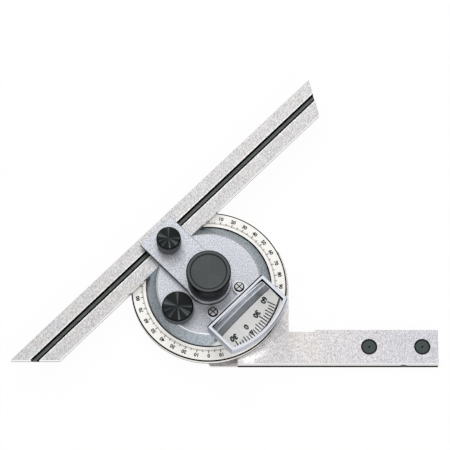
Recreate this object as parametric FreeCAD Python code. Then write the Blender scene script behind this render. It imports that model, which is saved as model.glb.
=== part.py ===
import FreeCAD, Part
import math
import os

# Universal bevel protractor with a vernier, a magnifier and a geared fine adjustment.
# Millimetres. The swivel axis is Z, the back face lies on z = 0 and the stock runs along +X.
# Everything that swivels is drawn with the blade level along X and then turned to the rest angle.

# Rest setting
REST_ANGLE = 45.0

# Stock: a ground bar with a quadrant block and a round seat under the dial
STOCK_THICK = 4.5
STOCK_REACH = 86.85
EDGE_PAST_DIAL = 0.2
BAR_WIDTH = 13.4
NECK_CUT = 0.75
NECK_END = 40.15
BLOCK_PAST_DIAL = 0.75
BLOCK_ARC_ANGLE = 30.0
SEAT_INSET = 2.6
STEP_WIDTH = 10.9
STEP_THICK = 1.5
STEP_CORNER = 0.7
EDGE_CHAMFER = 0.3
WELL_RADIUS = 22.4
WELL_FLOOR = 1.8
HUB_RADIUS = 8.0

# Stop pins let into the bar, and the cross bore for an attachment
PIN_RADIUS = 3.1
PIN_HEAD_RADIUS = 2.5
PIN_HEAD_TALL = 0.8
PIN_DEPTH = 3.5
PIN_SUNK = 0.15
PIN_FROM_END = 6.05
PIN_SPACING = 20.1
PIN_FROM_EDGE = 6.8
PIN_CENTRE_RADIUS = 0.35
CROSS_BORE_RADIUS = 1.2
CROSS_BORE_DEPTH = 4.0
CROSS_BORE_HEIGHT = 2.3
CROSS_BORE_FROM_END = 13.1

# Main dial
DIAL_WIDTH = 5.85
DIAL_CHAMFER = 0.36
DIAL_THICK = 2.8
DIAL_SCREW_COUNT = 3
DIAL_SCREW_RADIUS = 0.8
DIAL_SCREW_HEAD = 1.3
DIAL_SCREW_HEAD_TALL = 1.0
DIAL_SCREW_BITE = 1.9

# Gear train of the fine adjustment
GEAR_MODULE = 0.75
RING_TEETH = 54
PINION_TEETH = 12
PRESSURE_ANGLE = 20.0
GEAR_BACKLASH = 0.05
RING_TIP_SHARE = 0.6
RING_ROOT_SHARE = 1.15
PINION_TIP_SHARE = 0.85
PINION_ROOT_SHARE = 0.95
FLANK_STEP_COUNT = 3
RING_THICK = 2.4
PINION_FACE = 1.8
PINION_FLOOR_GAP = 0.5
PINION_ANGLE = 177.4
PINION_SHAFT_RADIUS = 2.0
PINION_COLLAR_RADIUS = 2.6
BUSH_WALL = 1.2
BUSH_FLANGE = 1.0
BUSH_FLANGE_THICK = 0.3

# Turret: the swivelling head, with a ledge for the blade and a cut for the vernier plate
TURRET_RADIUS = 23.45
DISC_RADIUS = 19.7
DISC_STAND = 0.8
DISC_CHAMFER = 0.25
LEDGE_ABOVE_DIAL = 0.4
VERNIER_WIDTH = 6.05
WINDOW_LEAN = 1.2
VERNIER_THICK = 1.2
VERNIER_SCREW_RADIUS = 0.6
VERNIER_SCREW_HEAD = 1.1
VERNIER_SCREW_HEAD_TALL = 0.6
VERNIER_SCREW_SPREAD = 18.0
VERNIER_SCREW_ROOF = 0.3

# Spindle, washers and the central lock
SPINDLE_RADIUS = 4.0
SPINDLE_FLANGE_RADIUS = 6.5
SPINDLE_FLANGE_THICK = 1.2
SPINDLE_TIP_RADIUS = 3.0
SPINDLE_TIP_TALL = 9.9
SPINDLE_SCREW_COUNT = 3
SPINDLE_SCREW_RADIUS = 0.6
SPINDLE_SCREW_HEAD = 0.95
SPINDLE_SCREW_HEAD_TALL = 0.7
SPINDLE_SCREW_LENGTH = 3.8
SPINDLE_SCREW_START = 90.0
THRUST_WASHER_THICK = 0.3
LOCK_WASHER_THICK = 0.5
LOCK_WASHER_RADIUS = 7.9
LOCK_KNOB_TALL = 12.3
LOCK_KNOB_RADIUS = 8.4
LOCK_KNOB_FOOT_RADIUS = 7.55
LOCK_KNOB_FOOT_TALL = 1.1
LOCK_KNOB_NECK_RADIUS = 7.25
LOCK_KNOB_RIM_TALL = 3.4
LOCK_KNOB_RIM_CHAMFER = 0.45
KNOB_CAP_RADIUS = 7.1
KNOB_CAP_THICK = 0.6
KNOB_CAP_SUNK = 0.2
KNOB_CAP_LIP_RADIUS = 6.4
KNOB_CAP_DISH_RADIUS = 5.7
KNOB_CAP_DISH = 0.15

# Blade
BLADE_WIDTH = 13.0
BLADE_THICK = 2.5
BLADE_EDGE_OFFSET = 18.5
BLADE_LENGTH = 149.7
BLADE_FORWARD = 82.5
FORWARD_END_ANGLE = 60.0
REAR_END_ANGLE = 45.0
GROOVE_WIDTH = 2.15
GROOVE_DEPTH = 1.0

# Clamp arm, clamp shoe and blade clamp knob
ARM_WIDTH = 16.1
ARM_REACH = 28.8
ARM_THICK = 2.6
ARM_CHAMFER = 0.15
ARM_ROUND_RADIUS = 8.6
ARM_SCREW_SPREAD = 12.2
ARM_SCREW_RADIUS = 0.8
ARM_SCREW_HEAD = 1.3
ARM_SCREW_HEAD_TALL = 0.8
ARM_SCREW_LENGTH = 5.2
SHOE_THICK = 1.3
SHOE_LIFT_ROOM = 0.2
SHOE_INSET = 0.4
SHOE_CORNER = 1.4
KEY_DEPTH = 0.75
CLAMP_OFFSET = 21.4
CLAMP_SCREW_RADIUS = 2.0
CLAMP_TIP_RADIUS = 1.25
CLAMP_TIP_DEPTH = 0.8
CLAMP_COLLAR_RADIUS = 3.0
CLAMP_COLLAR_GAP = 0.3
CLAMP_COLLAR_TALL = 0.9
CLAMP_KNOB_RADIUS = 4.7
CLAMP_KNOB_TALL = 5.7
CLAMP_KNOB_GROOVE_COUNT = 44
FINE_KNOB_RADIUS = 6.05
FINE_KNOB_TALL = 5.3
FINE_KNOB_GAP = 0.35
FINE_KNOB_GROOVE_COUNT = 56
KNURL_DEPTH = 0.28
KNURL_MARGIN = 0.45
KNOB_CHAMFER = 0.5
KNOB_BORE_ROOF = 1.5

# Magnifier: bracket with two ears, riser and lens frame, and the lens
EAR_RADIUS = 2.55
EAR_SPREAD = 14.0
EAR_OFFSET = 9.3
FOOT_THICK = 1.0
FRAME_INNER_OFFSET = 13.6
FRAME_WIDTH = 29.5
FRAME_PAST_DIAL = 1.2
FRAME_RISE = 10.3
FRAME_TALL = 4.2
FRAME_WALL = 1.4
FRAME_CHAMFER = 0.4
FRAME_CORNER = 1.0
FRAME_CORNER_LEAST = 0.2
FRAME_LIP = 0.5
FRAME_LIP_TALL = 0.6
RISER_THICK = 1.1
RISER_WIDTH = 26.6
FOOT_DEPTH = 2.6
LENS_TALL = 4.5
LENS_DOME_RADIUS = 28.0
LENS_CENTRE_OFFSET = 20.2
MAGNIFIER_SCREW_RADIUS = 0.8
MAGNIFIER_SCREW_HEAD = 1.5
MAGNIFIER_SCREW_HEAD_TALL = 0.7
MAGNIFIER_SCREW_LENGTH = 3.6
SLOT_WIDTH = 0.35
SLOT_DEPTH = 0.3
ONE_SLOT = [0]
CROSSED_SLOTS = [0, 90]

# Clearances
RUNNING_FIT = 0.03
SLIDING_FIT = 0.05
RIM_GAP = 0.3
FACE_GAP = 0.1

# How far a cutting block runs past what it cuts, and how near two points are one
OVERRUN = 1.0
SAME_PLACE = 1e-6

# Heights, each stacked on the one before
DIAL_FACE = STOCK_THICK + DIAL_THICK
TURRET_FLOOR = STOCK_THICK + THRUST_WASHER_THICK
LEDGE = DIAL_FACE + LEDGE_ABOVE_DIAL
BLADE_TOP = LEDGE + BLADE_THICK
DISC_TOP = BLADE_TOP + DISC_STAND
ARM_TOP = DISC_TOP + ARM_THICK
WASHER_TOP = ARM_TOP + LOCK_WASHER_THICK
KNOB_TOP = WASHER_TOP + LOCK_KNOB_TALL
SHOE_TOP = BLADE_TOP + SHOE_THICK
ARM_RELIEF = SHOE_TOP + SHOE_LIFT_ROOM
CLAMP_COLLAR = ARM_TOP + CLAMP_COLLAR_GAP
CLAMP_KNOB_FOOT = CLAMP_COLLAR + CLAMP_COLLAR_TALL
FINE_KNOB_FOOT = DISC_TOP + BUSH_FLANGE_THICK + FINE_KNOB_GAP
FRAME_TOP = DISC_TOP + FRAME_RISE
FRAME_FLOOR = FRAME_TOP - FRAME_TALL
LENS_FLOOR = FRAME_FLOOR + FRAME_LIP_TALL

# Radii and places that follow from the sizes above
DIAL_BORE = TURRET_RADIUS + RIM_GAP
DIAL_RADIUS = DIAL_BORE + DIAL_WIDTH
SEAT_RADIUS = DIAL_RADIUS - SEAT_INSET
EDGE_OFFSET = DIAL_RADIUS + EDGE_PAST_DIAL
BLOCK_REACH = DIAL_RADIUS + BLOCK_PAST_DIAL
FRAME_ARC_RADIUS = DIAL_RADIUS + FRAME_PAST_DIAL
VERNIER_CHORD = TURRET_RADIUS - VERNIER_WIDTH
DIAL_SCREW_CIRCLE = (DIAL_BORE + SEAT_RADIUS) / 2
PITCH_RING = GEAR_MODULE * RING_TEETH / 2
PITCH_PINION = GEAR_MODULE * PINION_TEETH / 2
PINION_CENTRE = PITCH_RING - PITCH_PINION
BLADE_MIDDLE = BLADE_EDGE_OFFSET + BLADE_WIDTH / 2
SHOE_START = BLADE_EDGE_OFFSET + SHOE_INSET
SHOE_END = ARM_REACH - SHOE_INSET
BUSH_RADIUS = PINION_SHAFT_RADIUS + BUSH_WALL
SPINDLE_SCREW_CIRCLE = (SPINDLE_RADIUS + SPINDLE_FLANGE_RADIUS) / 2

AXIS = FreeCAD.Vector(0, 0, 1)
ORIGIN = FreeCAD.Vector(0, 0, 0)


def point(x, y, z=0.0):
    return FreeCAD.Vector(x, y, z)


def polar(radius, degrees, z=0.0):
    angle = math.radians(degrees)
    return point(radius * math.cos(angle), radius * math.sin(angle), z)


def rod(radius, low, high, x=0.0, y=0.0):
    """An upright cylinder between two heights."""
    return Part.makeCylinder(radius, high - low, point(x, y, low), AXIS)


def tube(outer, inner, low, high, x=0.0, y=0.0):
    return rod(outer, low, high, x, y).cut(rod(inner, low, high, x, y))


def block(x0, x1, y0, y1, low, high):
    return Part.makeBox(x1 - x0, y1 - y0, high - low, point(x0, y0, low))


def prism(points, low, high):
    """An upright prism over a closed outline of straight runs."""
    corners = [point(x, y, low) for x, y in points]
    outline = Part.makePolygon(corners + corners[:1])
    return Part.Face(outline).extrude(point(0, 0, high - low))


def lathe(profile):
    """A full turn about Z of a closed (radius, height) profile."""
    corners = [point(radius, 0, height) for radius, height in profile]
    outline = Part.makePolygon(corners + corners[:1])
    return Part.Face(outline).revolve(ORIGIN, AXIS, 360)


def moved(shape, x, y, z=0.0):
    copy = shape.copy()
    copy.translate(point(x, y, z))
    return copy


def turned(shape, degrees=REST_ANGLE):
    """Turns a shape about the swivel axis."""
    copy = shape.copy()
    copy.rotate(ORIGIN, AXIS, degrees)
    return copy


def fused(shapes):
    return shapes[0].multiFuse(shapes[1:]).removeSplitter()


def edges_at_height(shape, height):
    """The edges that lie wholly at one height."""
    return [edge for edge in shape.Edges
            if all(abs(vertex.Point.z - height) < SAME_PLACE for vertex in edge.Vertexes)]


def upright_edges(shape, x, y):
    """The vertical edges at one place in plan."""
    return [edge for edge in shape.Edges
            if all(math.hypot(vertex.Point.x - x, vertex.Point.y - y) < SAME_PLACE
                   for vertex in edge.Vertexes)]


def around_circle(count, radius, start=0.0):
    return [polar(radius, start + 360.0 * index / count) for index in range(count)]


def screw(head_radius, head_tall, shank_radius, length, slots):
    """A screw standing on its head at z = 0 with the shank up; each slot is cut across the head."""
    shape = rod(head_radius, 0, head_tall).fuse(rod(shank_radius, 0, length))
    for degrees in slots:
        slot = block(-head_radius, head_radius, -SLOT_WIDTH / 2, SLOT_WIDTH / 2, 0, SLOT_DEPTH)
        shape = shape.cut(turned(slot, degrees))
    return shape.removeSplitter()


def flipped(shape, height):
    """Turns a shape upside down so that its z = 0 comes to the given height."""
    copy = shape.copy()
    copy.rotate(ORIGIN, point(1, 0, 0), 180)
    copy.translate(point(0, 0, height))
    return copy


# Gears: involute flanks on a common module

def involute(radius, base):
    """The involute function of the pressure angle at a radius."""
    angle = math.acos(min(1.0, base / radius))
    return math.tan(angle) - angle


def gear_outline(teeth, root, tip, widen):
    """The outline of an outward-toothed gear, each flank widened by a given amount."""
    pitch = GEAR_MODULE * teeth / 2
    base = pitch * math.cos(math.radians(PRESSURE_ANGLE))
    half_pitch_angle = math.pi / (2 * teeth) + widen / pitch
    flank_start = max(root, base)
    flank = []
    for step in range(FLANK_STEP_COUNT + 1):
        radius = flank_start + (tip - flank_start) * step / FLANK_STEP_COUNT
        flank.append((radius, half_pitch_angle + involute(pitch, base) - involute(radius, base)))
    if root < base:
        flank.insert(0, (root, flank[0][1]))
    outline = []
    for index in range(teeth):
        middle = 2 * math.pi * index / teeth
        rising = [(radius, middle - angle) for radius, angle in flank]
        falling = [(radius, middle + angle) for radius, angle in reversed(flank)]
        for radius, angle in rising + falling:
            outline.append((radius * math.cos(angle), radius * math.sin(angle)))
    return outline


def ring_gear():
    """The fixed internal gear, with a tooth space facing the pinion at rest."""
    tip = PITCH_RING - RING_TIP_SHARE * GEAR_MODULE
    root = PITCH_RING + RING_ROOT_SHARE * GEAR_MODULE
    top = WELL_FLOOR + RING_THICK
    teeth = prism(gear_outline(RING_TEETH, tip, root, GEAR_BACKLASH), WELL_FLOOR, top)
    gear = rod(WELL_RADIUS, WELL_FLOOR, top).cut(teeth)
    return turned(gear, REST_ANGLE + PINION_ANGLE)


def pinion_shaft():
    """The pinion, its collar and its shaft in one piece, upright on the Z axis."""
    tip = PITCH_PINION + PINION_TIP_SHARE * GEAR_MODULE
    root = PITCH_PINION - PINION_ROOT_SHARE * GEAR_MODULE
    foot = WELL_FLOOR + PINION_FLOOR_GAP
    top = foot + PINION_FACE
    gear = prism(gear_outline(PINION_TEETH, root, tip, -GEAR_BACKLASH), foot, top)
    collar = rod(PINION_COLLAR_RADIUS, top, TURRET_FLOOR - FACE_GAP)
    shaft_end = FINE_KNOB_FOOT + FINE_KNOB_TALL - KNOB_BORE_ROOF
    shaft = rod(PINION_SHAFT_RADIUS, top, shaft_end)
    return at_pinion(fused([gear, collar, shaft]))


def at_pinion(shape):
    """Puts a shape on the pinion's axis, turned so that a tooth faces outwards."""
    centre = polar(PINION_CENTRE, PINION_ANGLE)
    return turned(moved(turned(shape, PINION_ANGLE), centre.x, centre.y))


# Knobs

def knurl(radius, grooves, low, high):
    """A band of fine straight knurling."""
    outline = []
    for index in range(grooves):
        crest = polar(radius, 360.0 * index / grooves)
        valley = polar(radius - KNURL_DEPTH, 360.0 * (index + 0.5) / grooves)
        outline.append((crest.x, crest.y))
        outline.append((valley.x, valley.y))
    return prism(outline, low, high)


def knurled_knob(radius, grooves, tall, bore):
    """A round knob on z = 0 with a plain turned body, a knurled band and a blind bore."""
    body_radius = radius - KNURL_DEPTH / 2
    body = lathe([(0, 0), (body_radius - KNOB_CHAMFER, 0), (body_radius, KNOB_CHAMFER),
                  (body_radius, tall - KNOB_CHAMFER), (body_radius - KNOB_CHAMFER, tall), (0, tall)])
    band = knurl(radius, grooves, KNURL_MARGIN, tall - KNOB_CHAMFER - KNURL_MARGIN / 2)
    return fused([body, band]).cut(rod(bore, 0, tall - KNOB_BORE_ROOF))


def fine_adjust_knob():
    knob = knurled_knob(FINE_KNOB_RADIUS, FINE_KNOB_GROOVE_COUNT, FINE_KNOB_TALL, PINION_SHAFT_RADIUS)
    return at_pinion(moved(knob, 0, 0, FINE_KNOB_FOOT))


def blade_clamp_knob():
    knob = knurled_knob(CLAMP_KNOB_RADIUS, CLAMP_KNOB_GROOVE_COUNT, CLAMP_KNOB_TALL, CLAMP_SCREW_RADIUS)
    return turned(moved(knob, 0, CLAMP_OFFSET, CLAMP_KNOB_FOOT))


def swivel_lock_knob():
    """The large central knob: a foot, a waisted skirt and a broad rim with a sunk top."""
    rim_foot = KNOB_TOP - LOCK_KNOB_RIM_TALL
    foot_top = WASHER_TOP + LOCK_KNOB_FOOT_TALL
    rim_inner = KNOB_CAP_RADIUS
    seat = KNOB_TOP - KNOB_CAP_SUNK - KNOB_CAP_THICK
    body = lathe([(0, WASHER_TOP), (LOCK_KNOB_FOOT_RADIUS, WASHER_TOP), (LOCK_KNOB_FOOT_RADIUS, foot_top),
                  (LOCK_KNOB_NECK_RADIUS, foot_top), (LOCK_KNOB_RADIUS - LOCK_KNOB_RIM_CHAMFER, rim_foot),
                  (LOCK_KNOB_RADIUS, rim_foot + LOCK_KNOB_RIM_CHAMFER),
                  (LOCK_KNOB_RADIUS, KNOB_TOP - LOCK_KNOB_RIM_CHAMFER),
                  (LOCK_KNOB_RADIUS - LOCK_KNOB_RIM_CHAMFER, KNOB_TOP),
                  (rim_inner, KNOB_TOP), (rim_inner, seat), (0, seat)])
    thread = SPINDLE_TIP_RADIUS + SLIDING_FIT
    return body.cut(rod(thread, WASHER_TOP, WASHER_TOP + SPINDLE_TIP_TALL + FACE_GAP))


def knob_cap():
    """The plain slightly dished disc that closes the top of the central knob."""
    floor = KNOB_TOP - KNOB_CAP_SUNK - KNOB_CAP_THICK
    face = floor + KNOB_CAP_THICK
    dished = face - KNOB_CAP_DISH
    return lathe([(0, floor), (KNOB_CAP_RADIUS, floor), (KNOB_CAP_RADIUS, face),
                  (KNOB_CAP_LIP_RADIUS, face), (KNOB_CAP_DISH_RADIUS, dished), (0, dished)])


# Stock and what is fixed to it

def stock_outline():
    """The stock in plan: quadrant block with an arc at its shoulder, neck and bar."""
    bar_top = BAR_WIDTH - EDGE_OFFSET
    shoulder = polar(BLOCK_REACH, BLOCK_ARC_ANGLE)
    middle = polar(BLOCK_REACH, BLOCK_ARC_ANGLE / 2)
    arc = Part.Arc(point(BLOCK_REACH, 0), middle, shoulder).toShape()
    corners = [shoulder, ORIGIN, point(0, -EDGE_OFFSET), point(STOCK_REACH, -EDGE_OFFSET),
               point(STOCK_REACH, bar_top), point(NECK_END, bar_top), point(NECK_END, bar_top - NECK_CUT),
               point(BLOCK_REACH, bar_top - NECK_CUT), point(BLOCK_REACH, 0)]
    return Part.Wire([arc] + Part.makePolygon(corners).Edges)


def pin_places():
    far = STOCK_REACH - PIN_FROM_END
    height = PIN_FROM_EDGE - EDGE_OFFSET
    return [point(far - PIN_SPACING, height), point(far, height)]


def stock_body():
    """Bar, block and dial seat in one piece, with the gear well and all its bores."""
    plan = Part.Face(stock_outline()).extrude(point(0, 0, STOCK_THICK))
    front = [edge for edge in edges_at_height(plan, STOCK_THICK)
             if all(abs(vertex.Point.y + EDGE_OFFSET) < SAME_PLACE for vertex in edge.Vertexes)]
    plan = plan.makeChamfer(EDGE_CHAMFER, front)
    plan = plan.makeChamfer(STEP_CORNER, upright_edges(plan, 0, -EDGE_OFFSET)[:1])
    step = block(-OVERRUN, STEP_WIDTH, -EDGE_OFFSET - OVERRUN, 0, STEP_THICK, STOCK_THICK + OVERRUN)
    step = step.cut(rod(SEAT_RADIUS, 0, STOCK_THICK + OVERRUN))
    body = fused([plan.cut(step), rod(SEAT_RADIUS, 0, STOCK_THICK)])
    well = tube(WELL_RADIUS, HUB_RADIUS, WELL_FLOOR, STOCK_THICK)
    cuts = [well, rod(SPINDLE_RADIUS, 0, STOCK_THICK), rod(SPINDLE_FLANGE_RADIUS, 0, SPINDLE_FLANGE_THICK)]
    for place in pin_places():
        cuts.append(rod(PIN_RADIUS, STOCK_THICK - PIN_DEPTH, STOCK_THICK, place.x, place.y))
    for place in around_circle(DIAL_SCREW_COUNT, DIAL_SCREW_CIRCLE):
        cuts.append(rod(DIAL_SCREW_HEAD, 0, DIAL_SCREW_HEAD_TALL + FACE_GAP, place.x, place.y))
        cuts.append(rod(DIAL_SCREW_RADIUS, 0, STOCK_THICK, place.x, place.y))
    for place in around_circle(SPINDLE_SCREW_COUNT, SPINDLE_SCREW_CIRCLE, SPINDLE_SCREW_START):
        cuts.append(rod(SPINDLE_SCREW_RADIUS, 0, SPINDLE_SCREW_LENGTH, place.x, place.y))
    cross = Part.makeCylinder(CROSS_BORE_RADIUS, CROSS_BORE_DEPTH,
                              point(STOCK_REACH - CROSS_BORE_FROM_END, -EDGE_OFFSET, CROSS_BORE_HEIGHT),
                              point(0, 1, 0))
    return body.cut(cuts + [cross]).removeSplitter()


def stock_pins():
    """Two turned pins pressed into the bar, each head standing in a ring-shaped gap."""
    foot = STOCK_THICK - PIN_DEPTH
    face = STOCK_THICK - PIN_SUNK
    shoulder = face - PIN_HEAD_TALL
    pin = lathe([(0, foot), (PIN_RADIUS, foot), (PIN_RADIUS, shoulder), (PIN_HEAD_RADIUS, shoulder),
                 (PIN_HEAD_RADIUS, face), (PIN_CENTRE_RADIUS, face), (0, face - PIN_CENTRE_RADIUS)])
    return Part.makeCompound([moved(pin, place.x, place.y) for place in pin_places()])


def main_dial():
    """The graduated ring that the turret turns in."""
    ring = lathe([(DIAL_BORE, STOCK_THICK), (DIAL_RADIUS, STOCK_THICK),
                  (DIAL_RADIUS, DIAL_FACE - DIAL_CHAMFER), (DIAL_RADIUS - DIAL_CHAMFER, DIAL_FACE),
                  (DIAL_BORE, DIAL_FACE)])
    bite = STOCK_THICK + DIAL_SCREW_BITE
    holes = [rod(DIAL_SCREW_RADIUS, STOCK_THICK, bite, place.x, place.y)
             for place in around_circle(DIAL_SCREW_COUNT, DIAL_SCREW_CIRCLE)]
    return ring.cut(holes)


def dial_screws():
    length = STOCK_THICK + DIAL_SCREW_BITE - FACE_GAP
    one = screw(DIAL_SCREW_HEAD, DIAL_SCREW_HEAD_TALL, DIAL_SCREW_RADIUS, length, ONE_SLOT)
    return Part.makeCompound([moved(one, place.x, place.y, FACE_GAP)
                              for place in around_circle(DIAL_SCREW_COUNT, DIAL_SCREW_CIRCLE)])


def spindle():
    """The fixed pivot: flange at the back, running barrel and threaded tip."""
    shaft = lathe([(0, 0), (SPINDLE_FLANGE_RADIUS, 0), (SPINDLE_FLANGE_RADIUS, SPINDLE_FLANGE_THICK),
                   (SPINDLE_RADIUS, SPINDLE_FLANGE_THICK), (SPINDLE_RADIUS, WASHER_TOP - FACE_GAP),
                   (SPINDLE_TIP_RADIUS, WASHER_TOP - FACE_GAP),
                   (SPINDLE_TIP_RADIUS, WASHER_TOP + SPINDLE_TIP_TALL),
                   (0, WASHER_TOP + SPINDLE_TIP_TALL)])
    cuts = []
    for place in around_circle(SPINDLE_SCREW_COUNT, SPINDLE_SCREW_CIRCLE, SPINDLE_SCREW_START):
        cuts.append(rod(SPINDLE_SCREW_HEAD, 0, SPINDLE_SCREW_HEAD_TALL + FACE_GAP, place.x, place.y))
        cuts.append(rod(SPINDLE_SCREW_RADIUS, 0, SPINDLE_FLANGE_THICK, place.x, place.y))
    return shaft.cut(cuts)


def spindle_screws():
    length = SPINDLE_SCREW_LENGTH - FACE_GAP
    one = screw(SPINDLE_SCREW_HEAD, SPINDLE_SCREW_HEAD_TALL, SPINDLE_SCREW_RADIUS, length, ONE_SLOT)
    places = around_circle(SPINDLE_SCREW_COUNT, SPINDLE_SCREW_CIRCLE, SPINDLE_SCREW_START)
    return Part.makeCompound([moved(one, place.x, place.y, FACE_GAP) for place in places])


def thrust_washer():
    return tube(HUB_RADIUS, SPINDLE_RADIUS + RUNNING_FIT, STOCK_THICK, TURRET_FLOOR)


# Turret and what rides on it

def vernier_screw_places():
    height = -(VERNIER_CHORD + TURRET_RADIUS) / 2
    return [point(side * VERNIER_SCREW_SPREAD / 2, height) for side in (-1, 1)]


def ear_places():
    return [point(side * EAR_SPREAD / 2, -EAR_OFFSET) for side in (-1, 1)]


def arm_screw_places():
    return [point(side * ARM_SCREW_SPREAD / 2, 0) for side in (-1, 1)]


def vernier_window():
    """The room over the vernier plate: a step as tall as the plate, then a wall that leans back."""
    reach = TURRET_RADIUS + OVERRUN
    floor = DIAL_FACE - VERNIER_THICK
    top = DISC_TOP + OVERRUN
    step = -VERNIER_CHORD
    rim = step + WINDOW_LEAN
    section = [(-reach, floor), (step, floor), (step, DIAL_FACE), (rim, DISC_TOP),
               (rim, top), (-reach, top)]
    corners = [point(-reach, along, height) for along, height in section]
    face = Part.Face(Part.makePolygon(corners + corners[:1]))
    return face.extrude(point(2 * reach, 0, 0))


def turret():
    """A round head with a coned rim, cut to a ledge for the blade and to a floor for the vernier."""
    head = lathe([(0, TURRET_FLOOR), (TURRET_RADIUS, TURRET_FLOOR), (TURRET_RADIUS, DIAL_FACE),
                  (DISC_RADIUS + DISC_CHAMFER, DISC_TOP - DISC_CHAMFER),
                  (DISC_RADIUS - DISC_CHAMFER, DISC_TOP), (0, DISC_TOP)])
    reach = TURRET_RADIUS + OVERRUN
    ledge = block(-reach, reach, BLADE_EDGE_OFFSET - SLIDING_FIT, reach, LEDGE, DISC_TOP + OVERRUN)
    vernier_floor = DIAL_FACE - VERNIER_THICK
    pinion = polar(PINION_CENTRE, PINION_ANGLE)
    cuts = [ledge, vernier_window(), rod(SPINDLE_RADIUS + RUNNING_FIT, TURRET_FLOOR, DISC_TOP),
            rod(BUSH_RADIUS, TURRET_FLOOR, DISC_TOP, pinion.x, pinion.y)]
    for place in vernier_screw_places():
        cuts.append(rod(VERNIER_SCREW_HEAD, TURRET_FLOOR, TURRET_FLOOR + VERNIER_SCREW_HEAD_TALL,
                        place.x, place.y))
        cuts.append(rod(VERNIER_SCREW_RADIUS, TURRET_FLOOR, vernier_floor, place.x, place.y))
    for place in ear_places():
        foot = DISC_TOP + FOOT_THICK - MAGNIFIER_SCREW_LENGTH
        cuts.append(rod(MAGNIFIER_SCREW_RADIUS, foot, DISC_TOP, place.x, place.y))
    for place in arm_screw_places():
        cuts.append(rod(ARM_SCREW_RADIUS, ARM_TOP - ARM_SCREW_LENGTH, DISC_TOP, place.x, place.y))
    return turned(head.cut(cuts))


def pinion_bush():
    """The flanged bush that the pinion shaft runs in."""
    bush = tube(BUSH_RADIUS, PINION_SHAFT_RADIUS + RUNNING_FIT, TURRET_FLOOR, DISC_TOP)
    flange = tube(BUSH_RADIUS + BUSH_FLANGE, PINION_SHAFT_RADIUS + RUNNING_FIT,
                  DISC_TOP, DISC_TOP + BUSH_FLANGE_THICK)
    return at_pinion(fused([bush, flange]))


def vernier_plate():
    """The segment-shaped plate that carries the vernier, level with the dial."""
    floor = DIAL_FACE - VERNIER_THICK
    plate = rod(TURRET_RADIUS, floor, DIAL_FACE)
    keep = block(-TURRET_RADIUS, TURRET_RADIUS, -TURRET_RADIUS, -VERNIER_CHORD, floor, DIAL_FACE)
    plate = plate.common(keep)
    holes = [rod(VERNIER_SCREW_RADIUS, floor, DIAL_FACE - VERNIER_SCREW_ROOF, place.x, place.y)
             for place in vernier_screw_places()]
    return turned(plate.cut(holes))


def vernier_screws():
    length = DIAL_FACE - VERNIER_SCREW_ROOF - FACE_GAP - TURRET_FLOOR
    head = VERNIER_SCREW_HEAD_TALL - FACE_GAP
    one = screw(VERNIER_SCREW_HEAD, head, VERNIER_SCREW_RADIUS, length, ONE_SLOT)
    return turned(Part.makeCompound([moved(one, place.x, place.y, TURRET_FLOOR + FACE_GAP)
                                     for place in vernier_screw_places()]))


def lock_washer():
    return tube(LOCK_WASHER_RADIUS, SPINDLE_RADIUS + SLIDING_FIT, ARM_TOP, WASHER_TOP)


# Clamp arm, shoe and screw

def clamp_arm():
    """A flat arm with a round end about the axis, relieved underneath to make room for the shoe."""
    half = ARM_WIDTH / 2
    arm = fused([rod(ARM_ROUND_RADIUS, DISC_TOP, ARM_TOP),
                 block(-half, half, 0, ARM_REACH, DISC_TOP, ARM_TOP)])
    arm = arm.makeChamfer(ARM_CHAMFER, edges_at_height(arm, ARM_TOP))
    relief = block(-half - OVERRUN, half + OVERRUN, BLADE_EDGE_OFFSET, ARM_REACH + OVERRUN,
                   DISC_TOP - OVERRUN, ARM_RELIEF)
    cuts = [relief, rod(SPINDLE_RADIUS + RIM_GAP, DISC_TOP, ARM_TOP),
            rod(CLAMP_SCREW_RADIUS + SLIDING_FIT, ARM_RELIEF, ARM_TOP, 0, CLAMP_OFFSET)]
    for place in arm_screw_places():
        cuts.append(rod(ARM_SCREW_RADIUS, DISC_TOP, ARM_TOP, place.x, place.y))
        cuts.append(rod(ARM_SCREW_HEAD, ARM_TOP - ARM_SCREW_HEAD_TALL, ARM_TOP, place.x, place.y))
    return turned(arm.cut(cuts))


def arm_screws():
    upright = screw(ARM_SCREW_HEAD, ARM_SCREW_HEAD_TALL, ARM_SCREW_RADIUS, ARM_SCREW_LENGTH, ONE_SLOT)
    one = flipped(upright, ARM_TOP)
    return turned(Part.makeCompound([moved(one, place.x, place.y) for place in arm_screw_places()]))


def blade_shoe():
    """The pad that the clamp screw presses on the blade, with a key that runs in the groove."""
    half = ARM_WIDTH / 2 - SHOE_INSET
    pad = block(-half, half, SHOE_START, SHOE_END, BLADE_TOP, SHOE_TOP)
    corners = [edge for x in (-half, half) for edge in upright_edges(pad, x, SHOE_END)]
    pad = pad.makeFillet(SHOE_CORNER, corners)
    key_half = GROOVE_WIDTH / 2 - SLIDING_FIT
    key = block(-half, half, BLADE_MIDDLE - key_half, BLADE_MIDDLE + key_half,
                BLADE_TOP - KEY_DEPTH, BLADE_TOP)
    socket = rod(CLAMP_TIP_RADIUS + SLIDING_FIT, SHOE_TOP - CLAMP_TIP_DEPTH, SHOE_TOP, 0, CLAMP_OFFSET)
    return turned(fused([pad, key]).cut(socket))


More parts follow.
